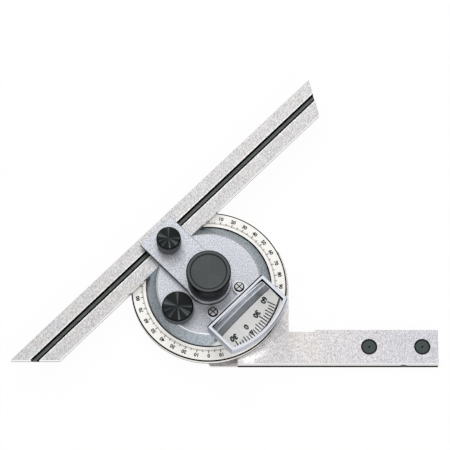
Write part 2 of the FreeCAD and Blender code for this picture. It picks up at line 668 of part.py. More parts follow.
def clamp_screw():
    """The steel screw of the blade clamp, with a swivelling tip in the shoe."""
    top = CLAMP_KNOB_FOOT + CLAMP_KNOB_TALL - KNOB_BORE_ROOF
    shape = lathe([(0, SHOE_TOP - CLAMP_TIP_DEPTH), (CLAMP_TIP_RADIUS, SHOE_TOP - CLAMP_TIP_DEPTH),
                   (CLAMP_TIP_RADIUS, SHOE_TOP), (CLAMP_SCREW_RADIUS, SHOE_TOP),
                   (CLAMP_SCREW_RADIUS, CLAMP_COLLAR), (CLAMP_COLLAR_RADIUS, CLAMP_COLLAR),
                   (CLAMP_COLLAR_RADIUS, CLAMP_KNOB_FOOT), (CLAMP_SCREW_RADIUS, CLAMP_KNOB_FOOT),
                   (CLAMP_SCREW_RADIUS, top), (0, top)])
    return turned(moved(shape, 0, CLAMP_OFFSET))


# Blade

def blade():
    """The straight blade with its two bevelled ends and the clamping groove."""
    lean_forward = BLADE_WIDTH / 2 / math.tan(math.radians(FORWARD_END_ANGLE))
    lean_rear = BLADE_WIDTH / 2 / math.tan(math.radians(REAR_END_ANGLE))
    rear = BLADE_FORWARD - BLADE_LENGTH
    inner = BLADE_EDGE_OFFSET
    outer = BLADE_EDGE_OFFSET + BLADE_WIDTH
    body = prism([(rear + lean_rear, inner), (BLADE_FORWARD - lean_forward, inner),
                  (BLADE_FORWARD + lean_forward, outer), (rear - lean_rear, outer)], LEDGE, BLADE_TOP)
    reach = BLADE_LENGTH + BLADE_WIDTH
    groove = block(-reach, reach, BLADE_MIDDLE - GROOVE_WIDTH / 2, BLADE_MIDDLE + GROOVE_WIDTH / 2,
                   BLADE_TOP - GROOVE_DEPTH, BLADE_TOP)
    return turned(body.cut(groove))


# Magnifier

def frame_outline(shrink, low, high):
    """A window shape drawn in by a given amount: straight at the axis side, arc at the far side."""
    half = FRAME_WIDTH / 2 - shrink
    near = -(FRAME_INNER_OFFSET + shrink)
    radius = FRAME_ARC_RADIUS - shrink
    sheet = block(-half, half, -radius, near, low, high)
    corner = max(FRAME_CORNER_LEAST, FRAME_CORNER - shrink / 2)
    corners = upright_edges(sheet, -half, near) + upright_edges(sheet, half, near)
    sheet = sheet.makeFillet(corner, corners)
    return sheet.common(rod(radius, low, high))


def magnifier_bracket():
    """Two ears, a foot, a riser and the lens frame in one casting."""
    frame = frame_outline(0, FRAME_FLOOR, FRAME_TOP)
    frame = frame.makeChamfer(FRAME_CHAMFER, edges_at_height(frame, FRAME_TOP))
    frame = frame.cut([frame_outline(FRAME_WALL, LENS_FLOOR, FRAME_TOP),
                       frame_outline(FRAME_WALL + FRAME_LIP, FRAME_FLOOR, LENS_FLOOR)])
    near = -FRAME_INNER_OFFSET
    half = RISER_WIDTH / 2
    riser = block(-half, half, near - RISER_THICK, near, DISC_TOP, FRAME_FLOOR)
    foot_top = DISC_TOP + FOOT_THICK
    foot = block(-EAR_SPREAD / 2 - EAR_RADIUS, EAR_SPREAD / 2 + EAR_RADIUS, near - RISER_THICK,
                 near + FOOT_DEPTH, DISC_TOP, foot_top)
    pieces = [frame, riser, foot]
    for place in ear_places():
        pieces.append(rod(EAR_RADIUS, DISC_TOP, foot_top, place.x, place.y))
        pieces.append(block(place.x - EAR_RADIUS, place.x + EAR_RADIUS, near, place.y, DISC_TOP, foot_top))
    clear = rod(ARM_ROUND_RADIUS + RIM_GAP, DISC_TOP, foot_top)
    cuts = [clear] + [rod(MAGNIFIER_SCREW_RADIUS, DISC_TOP, foot_top, place.x, place.y)
                      for place in ear_places()]
    return turned(fused(pieces).cut(cuts))


def magnifier_lens():
    """A flat-backed lens, cut to the frame, with a shallow dome on top."""
    dome_top = LENS_FLOOR + LENS_TALL
    blank = frame_outline(FRAME_WALL + SLIDING_FIT, LENS_FLOOR, dome_top + OVERRUN)
    dome = Part.makeSphere(LENS_DOME_RADIUS, point(0, -LENS_CENTRE_OFFSET, dome_top - LENS_DOME_RADIUS))
    return turned(blank.common(dome))


def magnifier_screws():
    """Two pan-head screws with crossed slots."""
    top = DISC_TOP + FOOT_THICK + MAGNIFIER_SCREW_HEAD_TALL
    length = MAGNIFIER_SCREW_LENGTH + MAGNIFIER_SCREW_HEAD_TALL
    upright = screw(MAGNIFIER_SCREW_HEAD, MAGNIFIER_SCREW_HEAD_TALL, MAGNIFIER_SCREW_RADIUS, length,
                    CROSSED_SLOTS)
    one = flipped(upright, top)
    return turned(Part.makeCompound([moved(one, place.x, place.y) for place in ear_places()]))


NODES = [stock_body, stock_pins, main_dial, dial_screws, ring_gear, spindle, spindle_screws, thrust_washer,
         turret, pinion_bush, vernier_plate, vernier_screws, clamp_arm, arm_screws, lock_washer,
         swivel_lock_knob, knob_cap, pinion_shaft, fine_adjust_knob, blade, blade_shoe, clamp_screw,
         blade_clamp_knob, magnifier_bracket, magnifier_lens, magnifier_screws]

os.makedirs("parts", exist_ok=True)
for build in NODES:
    build().exportStep("parts/" + build.__name__ + ".step")
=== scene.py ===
"""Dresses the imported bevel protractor: finishes, graduations, lens, floor, light and camera.

The part's own pieces come from the frame and keep their places and meshes. This script gives each
of them its finish, adds the graduations and the optical lens, and sets up the studio. Lengths are in
millimetres where a name ends in _mm or stands in a size field, and are turned into metres when a mesh
is made.
"""

import logging
import math
from dataclasses import dataclass, field
from enum import Enum
from typing import Any, Callable, Iterable, Sequence

import bmesh
import bpy
from mathutils import Matrix, Vector

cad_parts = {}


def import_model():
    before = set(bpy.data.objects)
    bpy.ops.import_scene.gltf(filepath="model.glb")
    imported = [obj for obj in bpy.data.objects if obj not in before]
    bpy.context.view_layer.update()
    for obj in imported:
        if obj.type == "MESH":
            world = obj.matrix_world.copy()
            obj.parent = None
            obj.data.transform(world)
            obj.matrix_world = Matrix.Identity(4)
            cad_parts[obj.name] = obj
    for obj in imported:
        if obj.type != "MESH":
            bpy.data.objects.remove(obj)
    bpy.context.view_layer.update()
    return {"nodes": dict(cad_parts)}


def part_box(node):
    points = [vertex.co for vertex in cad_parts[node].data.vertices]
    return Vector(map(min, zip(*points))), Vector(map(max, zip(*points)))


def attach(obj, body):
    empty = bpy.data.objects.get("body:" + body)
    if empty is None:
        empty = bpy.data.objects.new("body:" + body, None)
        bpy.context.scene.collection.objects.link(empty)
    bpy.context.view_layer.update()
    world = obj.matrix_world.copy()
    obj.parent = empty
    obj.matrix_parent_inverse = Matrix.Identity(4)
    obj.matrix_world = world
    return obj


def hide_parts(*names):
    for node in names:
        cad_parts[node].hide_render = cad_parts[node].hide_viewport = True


log = logging.getLogger("protractor")

MM = 0.001
REST_ANGLE = 45.0
DIAGONAL = math.sqrt(0.5)
FAR_MM = 1000.0

Triple = tuple[float, float, float]
Colour = Triple
Socket = bpy.types.NodeSocket


class Body(Enum):
    """The bodies that carry new pieces, by their names in the frame."""

    STOCK = "stock"
    TURRET = "turret"


class TickRank(Enum):
    """How a graduation counts on its scale."""

    LONG = "long"
    MIDDLE = "middle"
    SHORT = "short"


def polar(radius: float, degrees: float) -> tuple[float, float]:
    """A place in plan, from its distance to the swivel axis and its direction.

    Args:
        radius: The distance from the axis.
        degrees: The direction, counted from the stock's direction against the clock.

    Returns:
        The place's X and Y, in the unit of the radius.
    """
    angle = math.radians(degrees)
    return radius * math.cos(angle), radius * math.sin(angle)


def from_turret(along: float, outward: float) -> tuple[float, float]:
    """A place in plan from the turret's own directions at rest.

    Args:
        along: The distance along the blade.
        outward: The distance from the axis towards the magnifier.

    Returns:
        The place's X and Y, in the unit of the distances.
    """
    return (along + outward) * DIAGONAL, (along - outward) * DIAGONAL


def placed(degrees: float, x: float, y: float = 0.0) -> Matrix:
    """A shift followed by a turn about the swivel axis.

    Args:
        degrees: The turn.
        x: The shift along X, in millimetres.
        y: The shift along Y, in millimetres.

    Returns:
        The matrix of both.
    """
    return Matrix.Rotation(math.radians(degrees), 4, "Z") @ Matrix.Translation((x * MM, y * MM, 0.0))


class Graph:
    """The node tree of a material or the world, with short calls for what they share.

    The pairs of numbers are heights of a face's normal between which a mask of faces fades.
    """

    UPRIGHT = (0.55, 0.25)
    FORWARD = (-0.45, -0.55)
    BELOW_LEVEL = (0.93, 0.88)
    ABOVE_UPRIGHT = (0.3, 0.45)

    def __init__(self, owner: bpy.types.Material | bpy.types.World, output: str) -> None:
        """Starts an empty node tree.

        Args:
            owner: The material or the world.
            output: The type of its output node.
        """
        owner.use_nodes = True
        self.tree = owner.node_tree
        self.tree.nodes.clear()
        self.output = self.add(output)
        self.coordinates = self.add("ShaderNodeTexCoord").outputs
        self.place = self.coordinates["Object"]

    def add(self, kind: str, **settings: Any) -> bpy.types.Node:
        """A new node.

        Args:
            kind: The node's type.
            **settings: Its properties.

        Returns:
            The node.
        """
        node = self.tree.nodes.new(kind)
        for key, value in settings.items():
            setattr(node, key, value)
        return node

    def feed(self, target: Socket, value: Any) -> None:
        """Links a socket to a target, or sets the target to a plain value.

        Args:
            target: The input that is fed.
            value: A socket, a number, a vector or a colour.
        """
        if isinstance(value, bpy.types.NodeSocket):
            self.tree.links.new(value, target)
        elif isinstance(value, (tuple, list)) and target.type == "RGBA" and len(value) == 3:
            target.default_value = (*value, 1.0)
        else:
            target.default_value = value

    def math(self, operation: str, first: Any, second: Any = 0.0) -> Socket:
        """The result of one Math node.

        Args:
            operation: What it does.
            first: Its first input.
            second: Its second input.

        Returns:
            The result's socket.
        """
        node = self.add("ShaderNodeMath", operation=operation)
        self.feed(node.inputs[0], first)
        self.feed(node.inputs[1], second)
        return node.outputs[0]

    def vector(self, operation: str, first: Any, second: Any = (0.0, 0.0, 0.0)) -> Socket:
        """The result of one Vector Math node.

        Args:
            operation: What it does.
            first: Its first input.
            second: Its second input.

        Returns:
            The result's socket, a number for a length.
        """
        node = self.add("ShaderNodeVectorMath", operation=operation)
        self.feed(node.inputs[0], first)
        self.feed(node.inputs[1], second)
        return node.outputs["Value"] if operation == "LENGTH" else node.outputs[0]

    def axes(self, vector: Socket) -> tuple[Socket, Socket, Socket]:
        """The three parts of a vector.

        Args:
            vector: The vector's socket.

        Returns:
            The sockets of X, Y and Z.
        """
        node = self.add("ShaderNodeSeparateXYZ")
        self.feed(node.inputs[0], vector)
        return node.outputs[0], node.outputs[1], node.outputs[2]

    def ramp(self, kind: str, value: Any, *ends: float) -> Socket:
        """The result of one Map Range node.

        Args:
            kind: How the result goes from end to end.
            value: The socket that is read.
            *ends: Its two values at the ends, and the two results there.

        Returns:
            The result's socket.
        """
        node = self.add("ShaderNodeMapRange", interpolation_type=kind)
        self.feed(node.inputs["Value"], value)
        for key, end in zip(("From Min", "From Max", "To Min", "To Max"), ends):
            node.inputs[key].default_value = end
        return node.outputs["Result"]

    def step(self, value: Any, low: float, high: float) -> Socket:
        """A smooth change from 0 to 1 while a value goes from low to high.

        Args:
            value: The socket that is read.
            low: The value at which the result is 0.
            high: The value at which the result is 1; it may be the lower of the two.

        Returns:
            The result's socket.
        """
        ends = (low, high, 0.0, 1.0) if high > low else (high, low, 1.0, 0.0)
        return self.ramp("SMOOTHSTEP", value, *ends)

    def spread(self, value: Any, low: float, high: float) -> Socket:
        """A value from 0 to 1 spread evenly from a low to a high result."""
        return self.ramp("LINEAR", value, 0.0, 1.0, low, high)

    def around(self, value: Any, middle: float, reach: float) -> Socket:
        """A value from 0 to 1 spread evenly about a middle, as far as a reach to each side."""
        return self.spread(value, middle - reach, middle + reach)

    def noise(self, size_mm: float, detail: float = 2.0, stretch: Sequence[float] = (1.0, 1.0, 1.0),
              turn: float = 0.0) -> Socket:
        """Noise of a given grain.

        Args:
            size_mm: The size of one grain.
            detail: How many finer layers it has.
            stretch: How much closer the grains lie along each axis, after the turn.
            turn: The pattern's turn about Z, in degrees.

        Returns:
            The noise's socket, around one half.
        """
        mapping = self.add("ShaderNodeMapping")
        self.feed(mapping.inputs["Vector"], self.place)
        mapping.inputs["Rotation"].default_value = (0.0, 0.0, math.radians(-turn))
        mapping.inputs["Scale"].default_value = tuple(stretch)
        node = self.add("ShaderNodeTexNoise")
        self.feed(node.inputs["Vector"], mapping.outputs[0])
        node.inputs["Scale"].default_value = 1.0 / (size_mm * MM)
        node.inputs["Detail"].default_value = detail
        return node.outputs[0]

    def mix(self, share: Any, first: Any, second: Any) -> Socket:
        """A colour between two colours.

        Args:
            share: The second colour's share.
            first: The colour at 0.
            second: The colour at 1.

        Returns:
            The colour's socket.
        """
        node = self.add("ShaderNodeMix", data_type="RGBA")
        self.feed(node.inputs[0], share)
        self.feed(node.inputs[6], first)
        self.feed(node.inputs[7], second)
        return node.outputs[2]

    def tint(self, colour: Any, gain: Any) -> Socket:
        """A colour made lighter or darker.

        Args:
            colour: The colour, plain or a socket.
            gain: The factor.

        Returns:
            The new colour's socket.
        """
        node = self.add("ShaderNodeVectorMath", operation="SCALE")
        if isinstance(colour, bpy.types.NodeSocket):
            self.feed(node.inputs[0], colour)
        else:
            node.inputs[0].default_value = tuple(colour)
        self.feed(node.inputs["Scale"], gain)
        return node.outputs[0]

    def edges(self, radius_mm: float) -> Socket:
        """The surface's normal with every sharp edge broken.

        Args:
            radius_mm: The radius at the edges.

        Returns:
            The normal's socket.
        """
        node = self.add("ShaderNodeBevel", samples=6)
        node.inputs["Radius"].default_value = radius_mm * MM
        return node.outputs[0]

    def bump(self, height: Socket, depth_mm: float, strength: float, normal: Any = None) -> Socket:
        """A normal bumped by a pattern.

        Args:
            height: The pattern, between 0 and 1.
            depth_mm: How deep it goes.
            strength: How much of it shows.
            normal: The normal that it starts from, if not the surface's own.

        Returns:
            The normal's socket.
        """
        node = self.add("ShaderNodeBump")
        node.inputs["Distance"].default_value = depth_mm * MM
        node.inputs["Strength"].default_value = strength
        self.feed(node.inputs["Height"], height)
        if normal is not None:
            self.feed(node.inputs["Normal"], normal)
        return node.outputs[0]

    def side(self) -> Socket:
        """How much the surface stands upright: 0 on level faces and 1 on upright ones."""
        normal = self.axes(self.add("ShaderNodeNewGeometry").outputs["Normal"])[2]
        return self.step(self.math("ABSOLUTE", normal), *self.UPRIGHT)

    def front(self) -> Socket:
        """Which faces look to the front of the piece."""
        return self.step(self.axes(self.coordinates["Normal"])[1], *self.FORWARD)

    def slope(self) -> Socket:
        """Which faces lean: 1 between level and upright, otherwise 0."""
        normal = self.axes(self.add("ShaderNodeNewGeometry").outputs["Normal"])[2]
        return self.both(self.step(normal, *self.BELOW_LEVEL), self.step(normal, *self.ABOVE_UPRIGHT))

    def reach(self, vector: Socket) -> Socket:
        """The distance in plan from the pattern's axis."""
        return self.vector("LENGTH", self.vector("MULTIPLY", vector, (1.0, 1.0, 0.0)))

    def outward(self) -> Socket:
        """The distance from the axis towards the magnifier, for pieces that turn with the turret."""
        parts = self.axes(self.place)
        return self.math("MULTIPLY", self.math("SUBTRACT", parts[0], parts[1]), DIAGONAL)

    def beside(self) -> Socket:
        """The distance to either side of the magnifier's middle, for pieces that turn with the turret."""
        parts = self.axes(self.place)
        return self.math("ABSOLUTE", self.math("MULTIPLY", self.math("ADD", parts[0], parts[1]), DIAGONAL))

    def above(self, value: Any, limit_mm: float) -> Socket:
        """1 where a length is over a limit."""
        return self.math("GREATER_THAN", value, limit_mm * MM)

    def below(self, value: Any, limit_mm: float) -> Socket:
        """1 where a length is under a limit."""
        return self.math("LESS_THAN", value, limit_mm * MM)

    def fade(self, value: Any, low_mm: float, high_mm: float) -> Socket:
        """A smooth change from 0 to 1 while a length goes from one value to another."""
        return self.step(value, low_mm * MM, high_mm * MM)

    def band(self, value: Any, low_mm: float, high_mm: float, blur_mm: float = 0.04) -> Socket:
        """A mask of where a length lies between two others.

        Args:
            value: The length.
            low_mm: Where the mask begins.
            high_mm: Where it ends.
            blur_mm: How softly it does both.

        Returns:
            The mask's socket.
        """
        rise = self.fade(value, low_mm - blur_mm, low_mm + blur_mm)
        fall = self.fade(value, high_mm + blur_mm, high_mm - blur_mm)
        return self.both(rise, fall)

    def either(self, first: Any, second: Any) -> Socket:
        """The larger of two masks."""
        return self.math("MAXIMUM", first, second)

    def both(self, first: Any, second: Any) -> Socket:
        """The product of two masks."""
        return self.math("MULTIPLY", first, second)

    def lined(self, dark: Any, base: Any, line_colour: Any, metallic: float, specular: float,
              roughness: Any, normal: Any) -> None:
        """A surface that is matt and dark where a mask says so.

        Args:
            dark: The mask of the dark places, or 0 for none.
            base: The colour elsewhere.
            line_colour: The colour of the dark places.
            metallic: How metallic the surface is elsewhere.
            specular: Its plain shine elsewhere.
            roughness: Its roughness.
            normal: Its normal.
        """
        if isinstance(dark, bpy.types.NodeSocket):
            base = self.mix(dark, base, line_colour)
            metallic = self.spread(dark, metallic, 0.0) if metallic else 0.0
            specular = self.spread(dark, specular, 0.0) if specular else 0.0
        self.surface(Base_Color=base, Metallic=metallic, Specular_IOR_Level=specular,
                     Roughness=roughness, Normal=normal)

    def blend(self, share: Any, first: Socket, second: Socket) -> None:
        """A surface between two shaders, linked to the output.

        Args:
            share: The second shader's share.
            first: The shader at 0.
            second: The shader at 1.
        """
        node = self.add("ShaderNodeMixShader")
        for target, value in zip(node.inputs, (share, first, second)):
            self.feed(target, value)
        self.feed(self.output.inputs["Surface"], node.outputs[0])

    def surface(self, **values: Any) -> bpy.types.Node:
        """The main shader, linked to the output, with its sockets fed by name.

        Args:
            **values: Sockets or plain values, by the input's name with _ for a space.

        Returns:
            The shader's node.
        """
        node = self.add("ShaderNodeBsdfPrincipled")
        for key, value in values.items():
            self.feed(node.inputs[key.replace("_", " ")], value)
        self.tree.links.new(node.outputs[0], self.output.inputs["Surface"])
        return node


@dataclass(frozen=True)
class Finish:
    """A named finish, which lays itself on a new material."""

    name: str

    def coat(self, graph: Graph) -> None:
        """Lays the finish on; each kind has its own."""
        raise NotImplementedError(self.name, graph)

    def build(self) -> bpy.types.Material:
        """Builds the finish.

        Returns:
            The finished material.
        """
        material = bpy.data.materials.new(self.name)
        self.coat(Graph(material, "ShaderNodeOutputMaterial"))
        return material


@dataclass(frozen=True)
class GroundSteel(Finish):
    """Steel ground flat: a fine even grain, faint patches and broken edges, with a painted highlight on its
    chamfers, a painted tone on its upright faces and painted shade along the foot of its front faces.
    """

    colour: Colour = (0.69, 0.655, 0.635)
    patch_colour: Colour = (0.665, 0.65, 0.665)
    end_colour: Colour = (0.60, 0.595, 0.635)
    end_from_mm: float = 30.0
    end_to_mm: float = 88.0
    # line_colour, line_top_mm and line_start_mm set the painted shade along the foot of the front faces
    line_colour: Colour = (0.002, 0.002, 0.002)
    line_top_mm: float = 2.1
    line_start_mm: float = 10.95
    edge_mm: float = 0.04
    # painted highlight on the chamfers' leaning faces
    chamfer_colour: Colour = (1.0, 0.99, 0.99)
    # painted tone of the upright faces; on the blade it is a painted reflection of the pale floor
    wall_colour: Colour = (0.69, 0.665, 0.655)
    roughness: float = 0.36
    roughness_spread: float = 0.08
    grain_mm: float = 0.42
    cross_share: float = 0.8
    grain_stretch: Triple = (1.0, 0.6, 1.0)
    grain_share: float = 0.6
    contrast: float = 1.1
    patch_mm: float = 9.0
    patch_range: tuple[float, float] = (0.25, 0.75)
    streak_turn: float = 20.0
    cross_turn: float = 75.0
    bump_mm: float = 0.02
    bump_strength: float = 0.25

    def shade(self, graph: Graph) -> tuple[Socket, Socket, Socket]:
        """The ground steel's colour, roughness and normal in a graph.

        Args:
            graph: The material's node tree.

        Returns:
            The colour, roughness and normal sockets.
        """
        grain = graph.noise(self.grain_mm, 3.0, self.grain_stretch, self.streak_turn)
        cross = graph.noise(self.grain_mm * self.cross_share, 2.0, self.grain_stretch,
                            self.streak_turn + self.cross_turn)
        mottle = graph.math("ADD", graph.math("MULTIPLY", grain, self.grain_share),
                            graph.math("MULTIPLY", cross, 1.0 - self.grain_share))
        patches = graph.step(graph.noise(self.patch_mm, 1.0), *self.patch_range)
        base = graph.mix(patches, self.colour, self.patch_colour)
        x = graph.axes(graph.place)[0]
        base = graph.mix(graph.fade(x, self.end_from_mm, self.end_to_mm), base, self.end_colour)
        base = graph.tint(base, graph.around(mottle, 1.0, self.contrast))
        # painted highlight: leaning faces take the chamfer highlight colour
        base = graph.mix(graph.slope(), base, self.chamfer_colour)
        # painted tone on upright faces
        base = graph.mix(graph.side(), base, self.wall_colour)
        roughness = graph.around(mottle, self.roughness, self.roughness_spread)
        normal = graph.bump(mottle, self.bump_mm, self.bump_strength, graph.edges(self.edge_mm))
        return base, roughness, normal

    def dark(self, graph: Graph) -> Socket:
        """The mask of the painted shade: the foot of the front faces past the step.

        Args:
            graph: The material's node tree.

        Returns:
            The mask's socket.
        """
        place = graph.axes(graph.place)
        # painted shade: the foot of each front face is dark, for the shadow at its foot and the shadowed
        # floor that it mirrors
        low = graph.both(graph.below(place[2], self.line_top_mm), graph.above(place[0], self.line_start_mm))
        return graph.both(low, graph.both(graph.side(), graph.front()))

    def coat(self, graph: Graph) -> None:
        """Lays the finish on.

        Args:
            graph: The material's node tree.
        """
        base, roughness, normal = self.shade(graph)
        graph.lined(self.dark(graph), base, self.line_colour, 1.0, 0.0, roughness, normal)


@dataclass(frozen=True)
class GroovedSteel(GroundSteel):
    """The blade's ground steel, with the blackened clamping groove along its middle, painted shade on the
    groove's walls, in its corners and along its edges, and a painted highlight on the lips beside it.
    """

    middle_mm: float = 25.0
    half_width_mm: float = 1.09
    # the borders and edge bands below set painted shade in the groove and along its edges
    far_border_mm: float = 0.32
    near_border_mm: float = 0.76
    burnt_far_mm: float = 0.25
    burnt_near_mm: float = 0.1
    burnt_blur_mm: float = 0.02
    # lip_mm and lip_gain set a painted highlight beside the groove
    lip_mm: float = 0.42
    lip_gain: float = 1.35
    floor_mm: float = 10.12
    strip_colour: Colour = (0.098, 0.108, 0.105)
    streak_mm: float = 0.5
    streak_stretch: Triple = (0.06, 1.0, 1.0)
    streak_range: tuple[float, float] = (0.4, 1.6)

    def coat(self, graph: Graph) -> None:
        """Lays the finish on.

        Args:
            graph: The material's node tree.
        """
        base, roughness, normal = self.shade(graph)
        z = graph.axes(graph.place)[2]
        offset = graph.math("SUBTRACT", 0.0, graph.outward())
        across = graph.math("SUBTRACT", offset, self.middle_mm * MM)
        inside = graph.below(graph.math("ABSOLUTE", across), self.half_width_mm)
        groove = graph.both(inside, graph.below(z, self.floor_mm))
        # painted shade: the groove's walls and the borders of its floor are dark, with the blackened strip
        # left between them
        strip = graph.band(across, self.near_border_mm - self.half_width_mm,
                           self.half_width_mm - self.far_border_mm)
        border = graph.both(groove, graph.math("SUBTRACT", 1.0, strip))
        # painted shade along the groove's edges on the top face
        near = -self.half_width_mm - self.burnt_near_mm
        far = self.half_width_mm + self.burnt_far_mm
        edge_shade = graph.band(across, near, far, self.burnt_blur_mm)
        border = graph.either(border, graph.both(edge_shade, graph.above(z, self.floor_mm)))
        streaks = graph.noise(self.streak_mm, 2.0, self.streak_stretch, REST_ANGLE)
        stripe = graph.tint(self.strip_colour, graph.spread(streaks, *self.streak_range))
        # painted highlight: the top face is lighter along the groove's lips
        lip_highlight = graph.band(across, near - self.lip_mm, far + self.lip_mm)
        base = graph.tint(base, graph.spread(lip_highlight, 1.0, self.lip_gain))
        base = graph.mix(groove, base, stripe)
        dark = graph.either(border, self.dark(graph))
        graph.lined(dark, base, self.line_colour, 1.0, 0.0, roughness, normal)


@dataclass(frozen=True)
class BlastedMetal(Finish):
    """Metal with a fine blasted grain, faintly blue, with a painted reflection tone on its cones and a
    painted tone on its upright faces, which the arm and the bracket use for painted shade.
    """

    colour: Colour = (0.545, 0.56, 0.605)
    # painted reflection: the cones take a bluer tone
    cone_colour: Colour = (0.50, 0.56, 0.605)
    # painted tone on upright faces; the arm and the bracket set it for painted shade
    side_colour: Colour = (0.545, 0.56, 0.605)
    roughness: float = 0.42
    roughness_spread: float = 0.08
    grain_mm: float = 0.5
    contrast: float = 0.9
    cloud_mm: float = 6.0
    cloud_contrast: float = 0.05
    bump_mm: float = 0.02
    bump_strength: float = 0.35
    edge_mm: float = 0.15
    cone_from_mm: float = 19.95
    cone_to_mm: float = 23.6

    def shade(self, graph: Graph) -> tuple[Socket, Socket, Socket]:
        """The blasted metal's colour, roughness and normal in a graph.

        Args:
            graph: The material's node tree.

        Returns:
            The colour, roughness and normal sockets.
        """
        grain = graph.noise(self.grain_mm, 3.0)
        cloud = graph.noise(self.cloud_mm, 1.0)
        speck = graph.around(grain, 1.0, self.contrast)
        shadow = graph.around(cloud, 1.0, self.cloud_contrast)
        radius = graph.reach(graph.place)
        # painted reflection tone on the cones
        cone = graph.both(graph.slope(), graph.band(radius, self.cone_from_mm, self.cone_to_mm))
        base = graph.mix(cone, self.colour, self.cone_colour)
        # painted tone on upright faces
        base = graph.mix(graph.side(), base, self.side_colour)
        base = graph.tint(graph.tint(base, speck), shadow)
        roughness = graph.around(grain, self.roughness, self.roughness_spread)
        normal = graph.bump(grain, self.bump_mm, self.bump_strength, graph.edges(self.edge_mm))
        return base, roughness, normal

    def coat(self, graph: Graph) -> None:
        """Lays the finish on.

        Args:
            graph: The material's node tree.
        """
        base, roughness, normal = self.shade(graph)
        graph.surface(Base_Color=base, Metallic=1.0, Roughness=roughness, Normal=normal)


@dataclass(frozen=True)
class HeadMetal(BlastedMetal):
    """The turret's blasted metal, with a painted highlight along the disc's edge and, along the vernier's
    window, painted shade, a painted highlight line and a painted dark line of shade at the wall's foot.
    """

    # border_mm and border_colour set a painted highlight along the disc's edge
    border_mm: float = 0.25
    border_colour: Colour = (1.0, 1.0, 1.0)
    window_range_mm: tuple[float, float] = (14.2, 13.4)
    shade_start_mm: float = 13.5
    shade_range_mm: tuple[float, float] = (16.4, 14.6)
    rim_mm: float = 16.2
    rim_width_mm: float = 0.2
    chord_mm: float = 17.4
    chord_width_mm: float = 0.1
    overlap_mm: float = 0.05
    # colours of the painted shade, the painted wall, the painted highlight line and the painted dark foot
    # line along the window
    shade_colour: Colour = (0.33, 0.35, 0.395)
    wall_colour: Colour = (0.27, 0.29, 0.325)
    rim_colour: Colour = (0.82, 0.83, 0.88)
    line_colour: Colour = (0.004, 0.004, 0.005)

    def coat(self, graph: Graph) -> None:
        """Lays the finish on.

        Args:
            graph: The material's node tree.
        """
        base, roughness, normal = self.shade(graph)
        outward = graph.outward()
        under = graph.fade(graph.beside(), *self.window_range_mm)
        # painted highlight: a bright line along the disc's edge, where the cone begins
        border = graph.band(graph.reach(graph.place), self.cone_from_mm - self.border_mm,
                            self.cone_from_mm + self.overlap_mm)
        base = graph.mix(border, base, self.border_colour)
        rim_end = self.rim_mm + self.overlap_mm
        wall_end = self.chord_mm - self.chord_width_mm
        # painted shade along the window: the disc beside the riser and the wall down to the plate
        shade = graph.both(graph.fade(outward, *self.shade_range_mm),
                           graph.above(outward, self.shade_start_mm))
        wall = graph.band(outward, rim_end, wall_end)
        # painted highlight: a light line on the rim above the window's wall
        rim = graph.band(outward, self.rim_mm - self.rim_width_mm, rim_end)
        for mask, colour in ((shade, self.shade_colour), (wall, self.wall_colour), (rim, self.rim_colour)):
            base = graph.mix(graph.both(mask, under), base, colour)
        # painted shade: a dark line at the foot of the window's wall
        foot = graph.band(outward, wall_end, self.chord_mm + self.overlap_mm)
        graph.lined(graph.both(foot, under), base, self.line_colour, 1.0, 0.0, roughness, normal)


@dataclass(frozen=True)
class BracketMetal(BlastedMetal):
    """The magnifier's casting: bright satin, with painted shade on the frame's inner walls, along its near
    top edge, round each screw head and on the riser under the lens.
    """

    near_mm: float = 14.9
    half_mm: float = 13.45
    arc_mm: float = 29.5
    floor_mm: float = 17.2
    top_mm: float = 20.85
    edge_line_mm: float = 14.15
    edge_blur_mm: float = 0.05
    ear_offset_mm: float = 9.3
    ear_spread_mm: float = 14.0
    recess_mm: float = 2.0
    riser_mm: float = 12.9
    # colours of the painted shade on the casting and on the riser
    dark_colour: Colour = (0.006, 0.006, 0.008)
    riser_colour: Colour = (0.26, 0.285, 0.33)

    def coat(self, graph: Graph) -> None:
        """Lays the finish on.

        Args:
            graph: The material's node tree.
        """
        base, roughness, normal = self.shade(graph)
        z = graph.axes(graph.place)[2]
        outward = graph.outward()
        along = graph.beside()
        between = graph.below(along, self.half_mm)
        inside = graph.both(graph.above(outward, self.near_mm), between)
        inside = graph.both(inside, graph.below(graph.reach(graph.place), self.arc_mm))
        inside = graph.both(inside, graph.above(z, self.floor_mm))
        # painted shade: the frame's inner walls, its near top edge, the recess round each screw head and the
        # riser are dark
        walls = graph.both(inside, graph.side())
        behind = graph.fade(outward, self.edge_line_mm + self.edge_blur_mm,
                            self.edge_line_mm - self.edge_blur_mm)
        edge = graph.both(behind, graph.above(z, self.top_mm))
        to_ear = graph.add("ShaderNodeCombineXYZ")
        graph.feed(to_ear.inputs[0], graph.math("SUBTRACT", along, self.ear_spread_mm / 2 * MM))
        graph.feed(to_ear.inputs[1], graph.math("SUBTRACT", outward, self.ear_offset_mm * MM))
        recess = graph.band(graph.vector("LENGTH", to_ear.outputs[0]), -1.0, self.recess_mm)
        riser = graph.both(graph.above(outward, self.riser_mm), graph.below(z, self.floor_mm))
        riser = graph.both(riser, between)
        dark = graph.either(graph.either(walls, edge), graph.either(recess, riser))
        dark_colour = graph.mix(riser, self.dark_colour, self.riser_colour)
        graph.lined(dark, base, dark_colour, 1.0, 0.0, roughness, normal)


